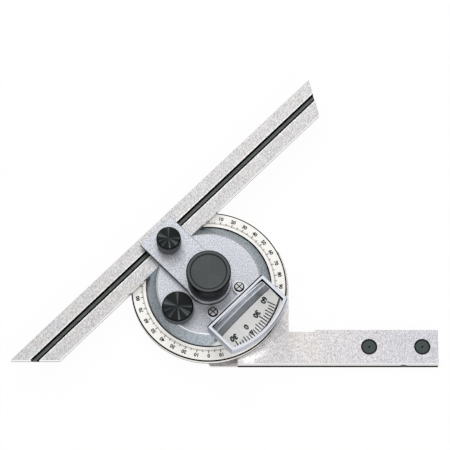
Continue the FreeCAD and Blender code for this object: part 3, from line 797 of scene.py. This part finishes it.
@dataclass(frozen=True)
class MattChrome(Finish):
    """The dull warm white chrome of the scales."""

    colour: Colour = (0.90, 0.885, 0.85)
    roughness: float = 0.5
    roughness_spread: float = 0.06
    grain_mm: float = 0.35
    contrast: float = 0.08
    cloud_mm: float = 7.0
    cloud_contrast: float = 0.03
    bump_mm: float = 0.01
    bump_strength: float = 0.2
    metallic: float = 0.3
    specular: float = 0.4
    line_colour: Colour = (0.002, 0.002, 0.002)

    def dark(self, graph: Graph) -> Any:
        """The mask of the dark places: none here, and a kind's own where it has some."""
        return 0.0

    def coat(self, graph: Graph) -> None:
        """Lays the finish on.

        Args:
            graph: The material's node tree.
        """
        grain = graph.noise(self.grain_mm, 2.0)
        cloud = graph.noise(self.cloud_mm, 1.0)
        speck = graph.around(grain, 1.0, self.contrast)
        shadow = graph.around(cloud, 1.0, self.cloud_contrast)
        base = graph.tint(graph.tint(self.colour, speck), shadow)
        roughness = graph.around(grain, self.roughness, self.roughness_spread)
        normal = graph.bump(grain, self.bump_mm, self.bump_strength)
        graph.lined(self.dark(graph), base, self.line_colour, self.metallic, self.specular, roughness,
                    normal)


@dataclass(frozen=True)
class DialChrome(MattChrome):
    """The scales' chrome on the dial, dark round its rim's chamfer, partly a black line of its own and
    partly a painted dark reflection, with painted shade at its bore and at the foot of its wall.
    """

    # rim_mm places the dark rim line, and bore_mm and foot_mm the painted shade
    rim_mm: float = 29.08
    bore_mm: float = 23.95
    foot_mm: float = 4.95
    blur_mm: float = 0.04

    def dark(self, graph: Graph) -> Any:
        """The mask of the dark places: the rim's chamfer, partly a black line and partly a painted dark
        reflection, and painted shade at the bore's edge and the foot of the wall.

        Args:
            graph: The material's node tree.

        Returns:
            The mask's socket.
        """
        z = graph.axes(graph.place)[2]
        radius = graph.reach(graph.place)
        # the rim's chamfer is dark: partly a black line of the dial's own, partly a painted dark reflection
        rim = graph.fade(radius, self.rim_mm - self.blur_mm, self.rim_mm + self.blur_mm)
        level = graph.math("SUBTRACT", 1.0, graph.side())
        # painted shade at the foot of the wall and at the edge of the bore
        foot = graph.both(graph.below(z, self.foot_mm), rim)
        bore = graph.fade(radius, self.bore_mm + self.blur_mm, self.bore_mm - self.blur_mm)
        return graph.either(graph.either(graph.both(rim, level), foot), bore)


@dataclass(frozen=True)
class TurnedBlack(Finish):
    """A dark turned finish with faint rings, painted highlight fans on its level face and a painted
    highlight on its knurl crests.
    """

    centre_mm: tuple[float, float] = (0.0, 0.0)
    colour: Colour = (0.004, 0.0045, 0.0045)
    face_colour: Colour = (0.0074, 0.009, 0.0096)
    # painted highlight on the knurl crests
    crest_colour: Colour = (0.08, 0.088, 0.095)
    roughness: float = 0.34
    anisotropy: float = 0.7
    ring_mm: float = 0.3
    ring_contrast: float = 0.5
    # fan_gain, fan_count and fan_range set the painted highlight fans
    fan_gain: float = 14.0
    fan_count: float = 1.9
    fan_range: tuple[float, float] = (0.47, 0.68)
    specular: float = 0.12
    side_specular: float = 0.02
    crest_mm: float = FAR_MM
    crest_depth_mm: float = 0.12
    rim_mm: float = FAR_MM
    rim_blur_mm: float = 0.03
    groove_mm: float = -FAR_MM
    groove_width_mm: float = 0.3
    repeat_mm: float = 0.0
    bump_mm: float = 0.012
    bump_strength: float = 0.5
    edge_mm: float = 0.1

    def centred(self, graph: Graph) -> Socket:
        """The place counted from the knob's own axis, or from the nearest of two equal ones.

        Args:
            graph: The material's node tree.

        Returns:
            The place's socket.
        """
        mapping = graph.add("ShaderNodeMapping")
        graph.feed(mapping.inputs["Vector"], graph.place)
        mapping.inputs["Location"].default_value = (-self.centre_mm[0] * MM, -self.centre_mm[1] * MM, 0.0)
        if not self.repeat_mm:
            return mapping.outputs[0]
        wrap = graph.add("ShaderNodeVectorMath", operation="WRAP")
        graph.feed(wrap.inputs[0], mapping.outputs[0])
        graph.feed(wrap.inputs[1], (self.repeat_mm / 2 * MM, 1.0, 1.0))
        graph.feed(wrap.inputs[2], (-self.repeat_mm / 2 * MM, -1.0, -1.0))
        return wrap.outputs[0]

    def coat(self, graph: Graph) -> None:
        """Lays the finish on.

        Args:
            graph: The material's node tree.
        """
        flat = graph.vector("MULTIPLY", self.centred(graph), (1.0, 1.0, 0.0))
        radius = graph.vector("LENGTH", flat)
        outward = graph.vector("NORMALIZE", flat)
        side = graph.side()
        level = graph.math("SUBTRACT", 1.0, graph.either(side, graph.slope()))
        turns = graph.math("DIVIDE", radius, self.ring_mm * MM)
        wave = graph.math("SINE", graph.math("MULTIPLY", turns, 2.0 * math.pi))
        rings = graph.both(graph.math("ADD", graph.math("MULTIPLY", wave, 0.5), 0.5), level)
        # painted highlight: bright fans on the level face, as lamps light a turned face
        fan = graph.add("ShaderNodeTexNoise")
        graph.feed(fan.inputs["Vector"], outward)
        fan.inputs["Scale"].default_value = self.fan_count
        fan.inputs["Detail"].default_value = 3.0
        fan_highlights = graph.both(graph.step(fan.outputs[0], *self.fan_range), level)
        base = graph.mix(level, self.colour, self.face_colour)
        base = graph.tint(base, graph.spread(rings, 1.0, 1.0 + self.ring_contrast))
        base = graph.tint(base, graph.spread(fan_highlights, 1.0, 1.0 + self.fan_gain))
        # painted highlight: the outer edge of the knurl on the sides is lighter
        crest_highlight = graph.both(side, graph.fade(radius, self.crest_mm - self.crest_depth_mm, self.crest_mm))
        base = graph.mix(crest_highlight, base, self.crest_colour)
        outer = graph.fade(radius, self.rim_mm - self.rim_blur_mm, self.rim_mm + self.rim_blur_mm)
        line = graph.band(radius, self.groove_mm, self.groove_mm + self.groove_width_mm)
        base = graph.mix(graph.both(graph.either(outer, line), level), base, self.colour)
        normal = graph.bump(rings, self.bump_mm, self.bump_strength, graph.edges(self.edge_mm))
        graph.surface(Base_Color=base, Roughness=self.roughness, Normal=normal,
                      Anisotropic=self.anisotropy, Tangent=outward,
                      Specular_IOR_Level=graph.spread(side, self.specular, self.side_specular))


@dataclass(frozen=True)
class PlainMetal(Finish):
    """A plain machined metal with a slight grain, for washers, screws and inner pieces."""

    colour: Colour = (0.42, 0.42, 0.43)
    roughness: float = 0.3
    roughness_spread: float = 0.07
    grain_mm: float = 0.6
    contrast: float = 0.12
    bump_mm: float = 0.01
    bump_strength: float = 0.2
    edge_mm: float = 0.06

    def coat(self, graph: Graph) -> None:
        """Lays the finish on.

        Args:
            graph: The material's node tree.
        """
        grain = graph.noise(self.grain_mm, 2.0)
        base = graph.tint(self.colour, graph.around(grain, 1.0, self.contrast))
        roughness = graph.around(grain, self.roughness, self.roughness_spread)
        normal = graph.bump(grain, self.bump_mm, self.bump_strength, graph.edges(self.edge_mm))
        graph.surface(Base_Color=base, Metallic=1.0, Roughness=roughness, Normal=normal)


@dataclass(frozen=True)
class SlottedHead(PlainMetal):
    """A bright screw head with painted shade in its slots and on its side."""

    contrast: float = 0.1
    edge_mm: float = 0.05
    top_mm: float = 12.7
    # slot_range_mm and the painted shade colour set the painted shade below the head's top
    slot_range_mm: tuple[float, float] = (-0.03, -0.08)
    dark_colour: Colour = (0.003, 0.003, 0.003)

    def coat(self, graph: Graph) -> None:
        """Lays the finish on.

        Args:
            graph: The material's node tree.
        """
        grain = graph.noise(self.grain_mm, 2.0)
        base = graph.tint(self.colour, graph.around(grain, 1.0, self.contrast))
        start, end = self.slot_range_mm
        # painted shade: all below the head's top, its slots and its side, is dark
        slot_shade = graph.fade(graph.axes(graph.place)[2], self.top_mm + start, self.top_mm + end)
        graph.lined(slot_shade, base, self.dark_colour, 1.0, 0.0, self.roughness, graph.edges(self.edge_mm))


@dataclass(frozen=True)
class ScaleInk(Finish):
    """The black that fills the engraved lines and figures."""

    colour: Colour = (0.006, 0.0055, 0.0055)
    grain_mm: float = 0.2
    contrast: float = 0.3
    roughness_range: tuple[float, float] = (0.5, 0.7)
    specular: float = 0.15

    def coat(self, graph: Graph) -> None:
        """Lays the finish on.

        Args:
            graph: The material's node tree.
        """
        grain = graph.noise(self.grain_mm, 1.0)
        base = graph.tint(self.colour, graph.around(grain, 1.0, self.contrast))
        graph.surface(Base_Color=base, Roughness=graph.spread(grain, *self.roughness_range),
                      Specular_IOR_Level=self.specular)


@dataclass(frozen=True)
class ClearGlass(Finish):
    """Coated optical glass with ground walls, which lets the lamps through to what lies under it."""

    colour: Colour = (0.998, 1.0, 0.998)
    ground_colour: Colour = (0.62, 0.67, 0.74)
    ground_roughness: float = 0.6
    coat_tint: Colour = (0.15, 0.15, 0.17)
    shadow_colour: Colour = (0.98, 0.99, 0.99)
    index: float = 1.7

    def coat(self, graph: Graph) -> None:
        """Lays the finish on.

        Args:
            graph: The material's node tree.
        """
        wall = graph.side()
        glass = graph.surface(Base_Color=graph.mix(wall, self.colour, self.ground_colour),
                              Roughness=graph.spread(wall, 0.0, self.ground_roughness), IOR=self.index,
                              Specular_Tint=self.coat_tint, Transmission_Weight=graph.spread(wall, 1.0, 0.0))
        clear = graph.add("ShaderNodeBsdfTransparent")
        graph.feed(clear.inputs[0], self.shadow_colour)
        shaded = graph.add("ShaderNodeLightPath").outputs["Is Shadow Ray"]
        graph.blend(shaded, glass.outputs[0], clear.outputs[0])


@dataclass(frozen=True)
class PaleFloor(Finish):
    """A pale floor that takes shadows and looks white to the camera and in reflections."""

    colour: Colour = (0.96, 0.96, 0.96)
    glow_colour: Colour = (1.0, 1.0, 1.0)
    glow: float = 0.95

    def coat(self, graph: Graph) -> None:
        """Lays the finish on.

        Args:
            graph: The material's node tree.
        """
        matt = graph.add("ShaderNodeBsdfDiffuse")
        graph.feed(matt.inputs[0], self.colour)
        glow = graph.add("ShaderNodeEmission")
        graph.feed(glow.inputs[0], self.glow_colour)
        path = graph.add("ShaderNodeLightPath").outputs
        mirrored = graph.either(path["Is Glossy Ray"], path["Is Transmission Ray"])
        seen = graph.either(path["Is Camera Ray"], mirrored)
        graph.blend(graph.math("MULTIPLY", seen, self.glow), matt.outputs[0], glow.outputs[0])


def deselect() -> None:
    """Leaves nothing selected and nothing in edit mode."""
    if bpy.context.object is not None and bpy.context.object.mode != "OBJECT":
        bpy.ops.object.mode_set(mode="OBJECT")
    bpy.ops.object.select_all(action="DESELECT")


def activate(piece: bpy.types.Object) -> None:
    """Makes one object the selected and active one.

    Args:
        piece: The object.
    """
    deselect()
    piece.select_set(True)
    bpy.context.view_layer.objects.active = piece


def settle(piece: bpy.types.Object) -> bpy.types.Object:
    """Puts an object's place into its mesh, so that the object stands at the origin unturned.

    Args:
        piece: The object.

    Returns:
        The same object.
    """
    activate(piece)
    bpy.ops.object.transform_apply(location=True, rotation=True, scale=True)
    return piece


def paint(piece: bpy.types.Object, material: bpy.types.Material) -> None:
    """Gives an object one material in every slot.

    Args:
        piece: The object.
        material: The material.
    """
    if not piece.material_slots:
        piece.data.materials.append(material)
    for slot in piece.material_slots:
        slot.material = material


def joined(pieces: Sequence[bpy.types.Object], name: str) -> bpy.types.Object:
    """Joins objects into one of a given name.

    Args:
        pieces: The objects, all meshes with their places settled.
        name: The name of the result.

    Returns:
        The joined object.
    """
    activate(pieces[0])
    for piece in pieces:
        piece.select_set(True)
    bpy.context.view_layer.objects.active = pieces[0]
    if len(pieces) > 1:
        bpy.ops.object.join()
    result = bpy.context.view_layer.objects.active
    result.name = name
    result.data.name = name
    return result


def copied(piece: bpy.types.Object, place: Matrix) -> bpy.types.Object:
    """A copy of an object with its own mesh.

    Args:
        piece: The object that is copied.
        place: The matrix that moves the copy's mesh.

    Returns:
        The copy.
    """
    copy = piece.copy()
    copy.data = piece.data.copy()
    copy.data.transform(place)
    bpy.context.scene.collection.objects.link(copy)
    return copy


def stamped(patterns: dict[Any, bpy.types.Object], places: Iterable[tuple[Any, Matrix]],
            name: str) -> bpy.types.Object:
    """Copies patterns to many places, as one mesh.

    Args:
        patterns: The patterns by their keys; they are used up.
        places: The key and the place of each copy.
        name: The name of the result.

    Returns:
        The joined copies.
    """
    pieces = [copied(patterns[key], place) for key, place in places]
    for pattern in patterns.values():
        bpy.data.objects.remove(pattern)
    return joined(pieces, name)


def keep(piece: bpy.types.Object, body: Body, material: bpy.types.Material) -> None:
    """Finishes a new piece: its material and its body.

    Args:
        piece: The finished object.
        body: The body that it rides on.
        material: Its finish.
    """
    paint(piece, material)
    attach(piece, body.value)
    log.info("%s rides on %s with %d faces", piece.name, body.value, len(piece.data.polygons))


def select_faces(test: Callable[[bmesh.types.BMFace], bool]) -> None:
    """Selects the edited mesh's faces that pass a test, and no others.

    Args:
        test: What a face has to be.
    """
    bpy.ops.mesh.select_all(action="DESELECT")
    mesh = bmesh.from_edit_mesh(bpy.context.object.data)
    for face in mesh.faces:
        if test(face):
            face.select_set(True)
    mesh.select_flush_mode()
    bmesh.update_edit_mesh(bpy.context.object.data)


@dataclass
class ScaleMaker:
    """Models graduation lines and figures that lie on a level face."""

    face_mm: float
    proud_mm: float = 0.012
    sunk_mm: float = 0.02
    eased_share: float = 0.12
    level_from: float = 0.9

    def line(self, name: str, length: float, width: float) -> bpy.types.Object:
        """One engraved line along X, from the origin outwards, with its ends eased.

        Args:
            name: The object's name.
            length: The line's length.
            width: The line's width.

        Returns:
            The line's object, at the scale's height.
        """
        tall = self.proud_mm + self.sunk_mm
        middle = self.face_mm + (self.proud_mm - self.sunk_mm) / 2
        deselect()
        bpy.ops.mesh.primitive_cube_add(size=1.0, location=(length / 2 * MM, 0.0, middle * MM),
                                        scale=(length * MM, width * MM, tall * MM))
        bar = bpy.context.object
        settle(bar)
        bpy.ops.object.mode_set(mode="EDIT")
        select_faces(lambda face: face.normal.z > self.level_from)
        bpy.ops.mesh.inset(thickness=self.eased_share * width * MM, depth=0.0)
        bpy.ops.object.mode_set(mode="OBJECT")
        bar.name = name
        return bar

    def figure(self, text: str, height: float, width_share: float, weight: float) -> bpy.types.Object:
        """One number as a thin solid, centred on the origin with its top towards +Y.

        Args:
            text: The number.
            height: The figures' height.
            width_share: How wide the figures are beside the font's own width.
            weight: How much their strokes are thickened.

        Returns:
            The number's object, at the scale's height.
        """
        deselect()
        bpy.ops.object.text_add(location=(0.0, 0.0, 0.0))
        label = bpy.context.object
        label.data.body = text
        label.data.align_x = "CENTER"
        label.data.align_y = "CENTER"
        label.data.size = 1.0
        label.data.resolution_u = 3
        label.data.offset = weight
        label.data.extrude = 0.5
        bpy.ops.object.convert(target="MESH")
        label = bpy.context.object
        corners = [vertex.co for vertex in label.data.vertices]
        low = Vector([min(corner[axis] for corner in corners) for axis in range(3)])
        high = Vector([max(corner[axis] for corner in corners) for axis in range(3)])
        scale = height / (high.y - low.y)
        tall = (self.proud_mm + self.sunk_mm) / (high.z - low.z)
        centre = Matrix.Translation(-(low + high) / 2)
        shrink = Matrix.Diagonal((scale * width_share * MM, scale * MM, tall * MM, 1.0))
        lift = Matrix.Translation((0.0, 0.0, (self.face_mm + (self.proud_mm - self.sunk_mm) / 2) * MM))
        label.data.transform(lift @ shrink @ centre)
        label.name = "figure_" + text
        return label


@dataclass
class Scale:
    """What both scales share: the ranks of their lines, and patterns for lines and figures."""

    lengths: dict[TickRank, float]
    widths: dict[TickRank, float]
    figure_radius: float
    figure_width: float
    figure_weight: float
    long_every: int
    middle_every: int
    face_mm: float = 7.3
    figure_height: float = 1.5

    def rank(self, index: int) -> TickRank:
        """How a line counts, by its place in the row."""
        if index % self.long_every == 0:
            return TickRank.LONG
        return TickRank.MIDDLE if index % self.middle_every == 0 else TickRank.SHORT

    def line_patterns(self, ranks: Iterable[TickRank]) -> dict[TickRank, bpy.types.Object]:
        """One line of each rank."""
        maker = ScaleMaker(self.face_mm)
        return {rank: maker.line("line_" + rank.value, self.lengths[rank], self.widths[rank])
                for rank in ranks}

    def figure_patterns(self, values: Iterable[int]) -> dict[int, bpy.types.Object]:
        """One number of each value."""
        maker = ScaleMaker(self.face_mm)
        return {value: maker.figure(str(value), self.figure_height, self.figure_width, self.figure_weight)
                for value in values}


@dataclass
class DialScale(Scale):
    """The dial's graduation: four quarters of ninety degrees, numbered every ten."""

    start_mm: float = 25.0
    figure_radius: float = 27.35
    figure_width: float = 1.0
    figure_weight: float = 0.045
    long_every: int = 10
    middle_every: int = 5
    lengths: dict[TickRank, float] = field(default_factory=lambda: {
        TickRank.LONG: 1.3, TickRank.MIDDLE: 0.95, TickRank.SHORT: 0.6})
    widths: dict[TickRank, float] = field(default_factory=lambda: {
        TickRank.LONG: 0.3, TickRank.MIDDLE: 0.28, TickRank.SHORT: 0.2})

    def lines(self, name: str, *ranks: TickRank) -> bpy.types.Object:
        """The dial's lines of some ranks in one mesh.

        Args:
            name: The mesh's name.
            *ranks: The ranks that it holds.

        Returns:
            The lines.
        """
        places = [(self.rank(degrees), placed(degrees, self.start_mm)) for degrees in range(360)
                  if self.rank(degrees) in ranks]
        return stamped(self.line_patterns(ranks), places, name)

    def figures(self) -> bpy.types.Object:
        """All the dial's numbers, with their tops outwards.

        Returns:
            The numbers in one mesh.
        """
        places = [(abs(90 - degrees % 180), placed(degrees - 90, 0.0, self.figure_radius))
                  for degrees in range(0, 360, self.long_every)]
        return stamped(self.figure_patterns(range(0, 100, self.long_every)), places, "dial_figures")

    def build(self, ink: bpy.types.Material, fine_ink: bpy.types.Material) -> None:
        """Makes the dial's lines and numbers.

        Args:
            ink: The black that fills them.
            fine_ink: The paler filling of the finest lines.
        """
        for piece in (self.lines("dial_lines", TickRank.LONG, TickRank.MIDDLE), self.figures()):
            keep(piece, Body.STOCK, ink)
        keep(self.lines("dial_fine_lines", TickRank.SHORT), Body.STOCK, fine_ink)


@dataclass
class VernierScale(Scale):
    """The vernier: twelve parts over twenty-three degrees to each side of an arrow."""

    rim_mm: float = 23.4
    figure_radius: float = 20.2
    figure_width: float = 0.98
    figure_weight: float = 0.06
    part_minutes: int = 5
    long_every: int = 6
    middle_every: int = 3
    parts: int = 12
    span: float = 23.0
    zero_direction: float = REST_ANGLE - 90.0
    lengths: dict[TickRank, float] = field(default_factory=lambda: {
        TickRank.LONG: 2.45, TickRank.MIDDLE: 2.0, TickRank.SHORT: 1.6})
    widths: dict[TickRank, float] = field(default_factory=lambda: dict.fromkeys(TickRank, 0.28))
    arrow_length: float = 1.5
    arrow_width: float = 1.15
    arrow_point: float = 0.12
    arrow_line: float = 0.35

    def direction(self, part: int) -> float:
        """The direction of one of the vernier's lines, in degrees."""
        return self.zero_direction + part * self.span / self.parts

    def lines(self) -> bpy.types.Object:
        """The vernier's lines.

        Returns:
            The lines in one mesh.
        """
        places = []
        for part in range(-self.parts, self.parts + 1):
            rank = self.rank(part)
            if part != 0:
                places.append((rank, placed(self.direction(part), self.rim_mm - self.lengths[rank])))
        return stamped(self.line_patterns(TickRank), places, "vernier_lines")

    def arrow(self) -> bpy.types.Object:
        """The arrow at zero: a filled wedge whose point runs out into a line.

        Returns:
            The arrow in one mesh.
        """
        maker = ScaleMaker(self.face_mm)
        wedge = maker.line("wedge", self.arrow_length, self.arrow_width)
        for vertex in wedge.data.vertices:
            if vertex.co.x > self.arrow_length / 2 * MM:
                vertex.co.y *= self.arrow_point
        width = self.widths[TickRank.LONG]
        shaft = maker.line("shaft", self.arrow_length + self.arrow_line, width)
        start = self.rim_mm - self.arrow_length - self.arrow_line
        for piece in (wedge, shaft):
            piece.data.transform(placed(self.zero_direction, start))
        return joined((wedge, shaft), "vernier_arrow")

    def figures(self) -> bpy.types.Object:
        """The vernier's numbers, with their tops outwards.

        Returns:
            The numbers in one mesh.
        """
        parts = range(-self.parts, self.parts + 1, self.long_every)
        places = [(abs(part) * self.part_minutes, placed(self.direction(part) - 90, 0.0, self.figure_radius))
                  for part in parts]
        patterns = self.figure_patterns(sorted({value for value, _ in places}))
        return stamped(patterns, places, "vernier_figures")

    def build(self, ink: bpy.types.Material) -> None:
        """Makes the vernier's lines, arrow and numbers.

        Args:
            ink: The black that fills them.
        """
        for piece in (self.lines(), self.arrow(), self.figures()):
            keep(piece, Body.TURRET, ink)


@dataclass
class ReadingLens:
    """The magnifier's lens: a dome on a flat back, cut to the frame's window."""

    middle_mm: float = 20.2
    dome_mm: float = 28.0
    top_mm: float = 22.2
    floor_mm: float = 17.705
    near_mm: float = 15.07
    half_mm: float = 13.28
    arc_mm: float = 29.33
    arc_reach: float = 30.0
    arc_cuts: int = 40
    corner_mm: float = 0.2
    smooth_angle: float = 8.0
    segments: int = 192
    rings: int = 320

    def cut(self, direction: Triple, distance: float) -> None:
        """Cuts away what lies beyond a plane and closes the cut.

        Args:
            direction: The way that the plane faces.
            distance: Its distance from the origin.
        """
        place = Vector(direction) * distance * MM
        bpy.ops.mesh.select_all(action="SELECT")
        bpy.ops.mesh.bisect(plane_co=place, plane_no=direction, clear_outer=True, use_fill=True,
                            threshold=1e-8)

    def build(self, glass: bpy.types.Material) -> None:
        """Makes the lens in place of the plain one.

        Args:
            glass: Its finish.
        """
        x, y = from_turret(0.0, self.middle_mm)
        deselect()
        bpy.ops.mesh.primitive_uv_sphere_add(
            segments=self.segments, ring_count=self.rings, radius=self.dome_mm * MM,
            location=(x * MM, y * MM, (self.top_mm - self.dome_mm) * MM))
        lens = settle(bpy.context.object)
        lens.name = "reading_lens"
        bpy.ops.object.mode_set(mode="EDIT")
        self.cut((0.0, 0.0, -1.0), -self.floor_mm)
        near = from_turret(0.0, -1.0)
        left = from_turret(-1.0, 0.0)
        right = from_turret(1.0, 0.0)
        self.cut((*near, 0.0), -self.near_mm)
        self.cut((*left, 0.0), self.half_mm)
        self.cut((*right, 0.0), self.half_mm)
        for side in (left, right):
            corner = Vector((near[0] + side[0], near[1] + side[1], 0.0)).normalized()
            inset = (self.half_mm - self.near_mm - self.corner_mm) * DIAGONAL
            self.cut(tuple(corner), inset)
        for index in range(self.arc_cuts + 1):
            turn = self.arc_reach * (2.0 * index / self.arc_cuts - 1.0)
            self.cut((*polar(1.0, REST_ANGLE - 90.0 + turn), 0.0), self.arc_mm)
        bpy.ops.object.mode_set(mode="OBJECT")
        activate(lens)
        bpy.ops.object.shade_smooth_by_angle(angle=math.radians(self.smooth_angle))
        keep(lens, Body.TURRET, glass)
        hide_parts("magnifier_lens")


@dataclass
class IndexMark:
    """A small dark mark on the stock's rim beside the dial."""

    face_mm: float = 4.5
    start_mm: float = 29.7
    length: float = 0.5
    width: float = 0.4
    direction: float = 28.0

    def build(self, ink: bpy.types.Material) -> None:
        """Makes the mark.

        Args:
            ink: The black that fills it.
        """
        mark = ScaleMaker(self.face_mm).line("index_mark", self.length, self.width)
        mark.data.transform(placed(self.direction, self.start_mm))
        keep(mark, Body.STOCK, ink)


@dataclass(frozen=True)
class Lamp:
    """A square soft lamp that faces the part: its size, direction and height in degrees, and power."""

    name: str
    size: float
    direction: float
    height: float
    power: float
    distance: float = 1.1

    def build(self) -> None:
        """Sets the lamp up."""
        x, y = polar(self.distance * math.cos(math.radians(self.height)), self.direction)
        place = Vector((x, y, self.distance * math.sin(math.radians(self.height))))
        light = bpy.data.lights.new(self.name, "AREA")
        light.shape = "SQUARE"
        light.size = self.size
        light.energy = self.power
        lamp = bpy.data.objects.new(self.name, light)
        bpy.context.scene.collection.objects.link(lamp)
        lamp.location = place
        lamp.rotation_euler = place.to_track_quat("Z", "Y").to_euler()


@dataclass
class Studio:
    """The floor, the lamps, the world and the camera."""

    floor_size: float = 12.0
    floor_height: float = -0.00002
    camera_place: Triple = (0.006149, -0.292183, 0.955783)
    camera_tilt: float = 18.471
    sensor: float = 36.0
    lens: float = 208.76
    clip_start: float = 0.05
    lamps: tuple[Lamp, ...] = (Lamp("key", 0.5, 105.0, 46.0, 2.6), Lamp("fill", 0.9, -55.0, 60.0, 2.9))
    zenith: float = 0.95
    horizon: float = 0.06
    rise_from: float = 0.3
    rise_to: float = 0.88
    front: float = 0.8
    front_from: float = -0.35
    front_to: float = -0.9

    def floor(self) -> None:
        """A wide pale floor that shows white and keeps the part's shadow."""
        deselect()
        bpy.ops.mesh.primitive_plane_add(size=self.floor_size, location=(0.0, 0.0, self.floor_height))
        plane = settle(bpy.context.object)
        plane.name = "floor"
        paint(plane, PaleFloor("pale_floor").build())

    def world(self) -> None:
        """Soft light from above and from the front, with a darker rim behind and beside the part."""
        world = bpy.data.worlds.new("studio")
        bpy.context.scene.world = world
        graph = Graph(world, "ShaderNodeOutputWorld")
        _, depth, height = graph.axes(graph.coordinates["Generated"])
        above = graph.ramp("SMOOTHSTEP", height, self.rise_from, self.rise_to, self.horizon, self.zenith)
        ahead = graph.ramp("SMOOTHSTEP", depth, self.front_from, self.front_to, 0.0, self.front)
        sky = graph.add("ShaderNodeBackground")
        graph.feed(sky.inputs["Strength"], graph.either(above, ahead))
        graph.feed(sky.inputs["Color"], (1.0, 1.0, 1.0))
        graph.feed(graph.output.inputs["Surface"], sky.outputs[0])

    def camera(self) -> None:
        """The camera, from the front at a steep angle through a very long lens."""
        data = bpy.data.cameras.new("view")
        data.sensor_width = self.sensor
        data.lens = self.lens
        data.clip_start = self.clip_start
        camera = bpy.data.objects.new("view", data)
        camera.location = self.camera_place
        camera.rotation_euler = (math.radians(self.camera_tilt), 0.0, 0.0)
        bpy.context.scene.collection.objects.link(camera)
        bpy.context.scene.camera = camera

    def build(self) -> None:
        """Sets up everything around the part."""
        self.camera()
        self.floor()
        self.world()
        for lamp in self.lamps:
            lamp.build()
        bpy.context.scene.view_settings.view_transform = "Standard"
        log.info("studio ready")


def knob_plan(node: str) -> tuple[tuple[float, float], float]:
    """A round piece's middle and radius in plan, read from the frame.

    Args:
        node: The piece's name.

    Returns:
        The middle's X and Y and the radius, in millimetres.
    """
    low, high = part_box(node)
    centre = ((low.x + high.x) / 2 / MM, (low.y + high.y) / 2 / MM)
    return centre, (high.x - low.x) / 2 / MM


@dataclass
class Finishes:
    """Gives each of the part's own pieces its finish."""

    nodes: dict[str, bpy.types.Object]
    worn_mm: float = 0.12

    def apply(self, finish: Finish, *names: str) -> None:
        """Paints some of the part's pieces.

        Args:
            finish: Their finish.
            *names: The pieces' names.
        """
        material = finish.build()
        for name in names:
            paint(self.nodes[name], material)
            log.info("%s is finished in %s", name, material.name)

    def build(self) -> None:
        """Paints all the part's pieces."""
        self.apply(GroundSteel("stock_steel"), "stock_body")
        # on the blade the dark line along the foot of its walls is painted shade, and its white walls are a
        # painted reflection of the pale floor
        self.apply(GroovedSteel("blade_steel", colour=(0.565, 0.55, 0.54), patch_colour=(0.545, 0.54, 0.555),
                                end_colour=(0.54, 0.525, 0.545), line_top_mm=8.25, line_start_mm=-100.0,
                                wall_colour=(1.0, 1.0, 1.0), streak_turn=65.0), "blade")
        self.apply(HeadMetal("head_metal"), "turret")
        # the arm's black upright faces are painted shade
        self.apply(BlastedMetal("arm_metal", side_colour=(0.03, 0.031, 0.035)), "clamp_arm")
        # the bracket's darker upright faces are painted shade
        self.apply(BracketMetal("bracket_metal", (0.70, 0.72, 0.78), side_colour=(0.40, 0.43, 0.50),
                                roughness=0.3, grain_mm=0.35, contrast=0.1, edge_mm=0.08),
                   "magnifier_bracket")
        self.apply(DialChrome("dial_chrome"), "main_dial")
        self.apply(MattChrome("vernier_chrome", (1.0, 0.99, 0.96), metallic=0.0), "vernier_plate")
        self.apply(TurnedBlack("lock_black", face_colour=(0.068, 0.077, 0.078), ring_mm=0.5, anisotropy=0.4,
                               fan_gain=0.0, rim_mm=7.95), "swivel_lock_knob", "lock_washer")
        self.apply(TurnedBlack("cap_grey", face_colour=(0.056, 0.064, 0.064), anisotropy=0.3, roughness=0.45,
                               ring_mm=0.25, ring_contrast=0.12, fan_gain=0.2, specular=0.3,
                               groove_mm=6.55, groove_width_mm=0.5), "knob_cap")
        # the knobs' lighter knurl crests are a painted highlight
        for node in ("fine_adjust_knob", "blade_clamp_knob"):
            centre, radius = knob_plan(node)
            self.apply(TurnedBlack(node + "_black", centre_mm=centre, crest_mm=radius - self.worn_mm), node)
        self.pins()
        self.apply(PlainMetal("gear_steel"), "ring_gear", "spindle", "pinion_shaft", "clamp_screw",
                   "blade_shoe")
        self.apply(SlottedHead("head_steel", (0.62, 0.62, 0.63), 0.25), "magnifier_screws")
        self.apply(PlainMetal("screw_steel", (0.55, 0.55, 0.56), 0.25), "dial_screws", "spindle_screws",
                   "vernier_screws", "arm_screws")
        self.apply(PlainMetal("brass", (0.72, 0.52, 0.22), 0.3), "thrust_washer", "pinion_bush")

    def pins(self) -> None:
        """Paints the stock's two pins in one finish whose rings stand about each of them."""
        low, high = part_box("stock_pins")
        radius = (high.y - low.y) / 2
        spacing = (high.x - low.x - 2 * radius) / MM
        centre = ((low.x + radius) / MM, (low.y + radius) / MM)
        self.apply(TurnedBlack("pin_black", centre_mm=centre, face_colour=(0.05, 0.06, 0.06), ring_mm=0.8,
                               anisotropy=0.3, roughness=0.45, fan_gain=0.2, rim_mm=2.6,
                               repeat_mm=spacing), "stock_pins")


def main() -> None:
    """Builds the whole scene around the frame."""
    logging.basicConfig(level=logging.INFO, format="%(name)s: %(message)s")
    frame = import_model()
    Studio().build()
    Finishes(frame["nodes"]).build()
    ink = ScaleInk("scale_ink").build()
    DialScale().build(ink, ScaleInk("fine_scale_ink", (0.2, 0.175, 0.14)).build())
    VernierScale().build(ink)
    IndexMark().build(ink)
    ReadingLens().build(ClearGlass("lens_glass").build())


if __name__ == "__main__":
    main()
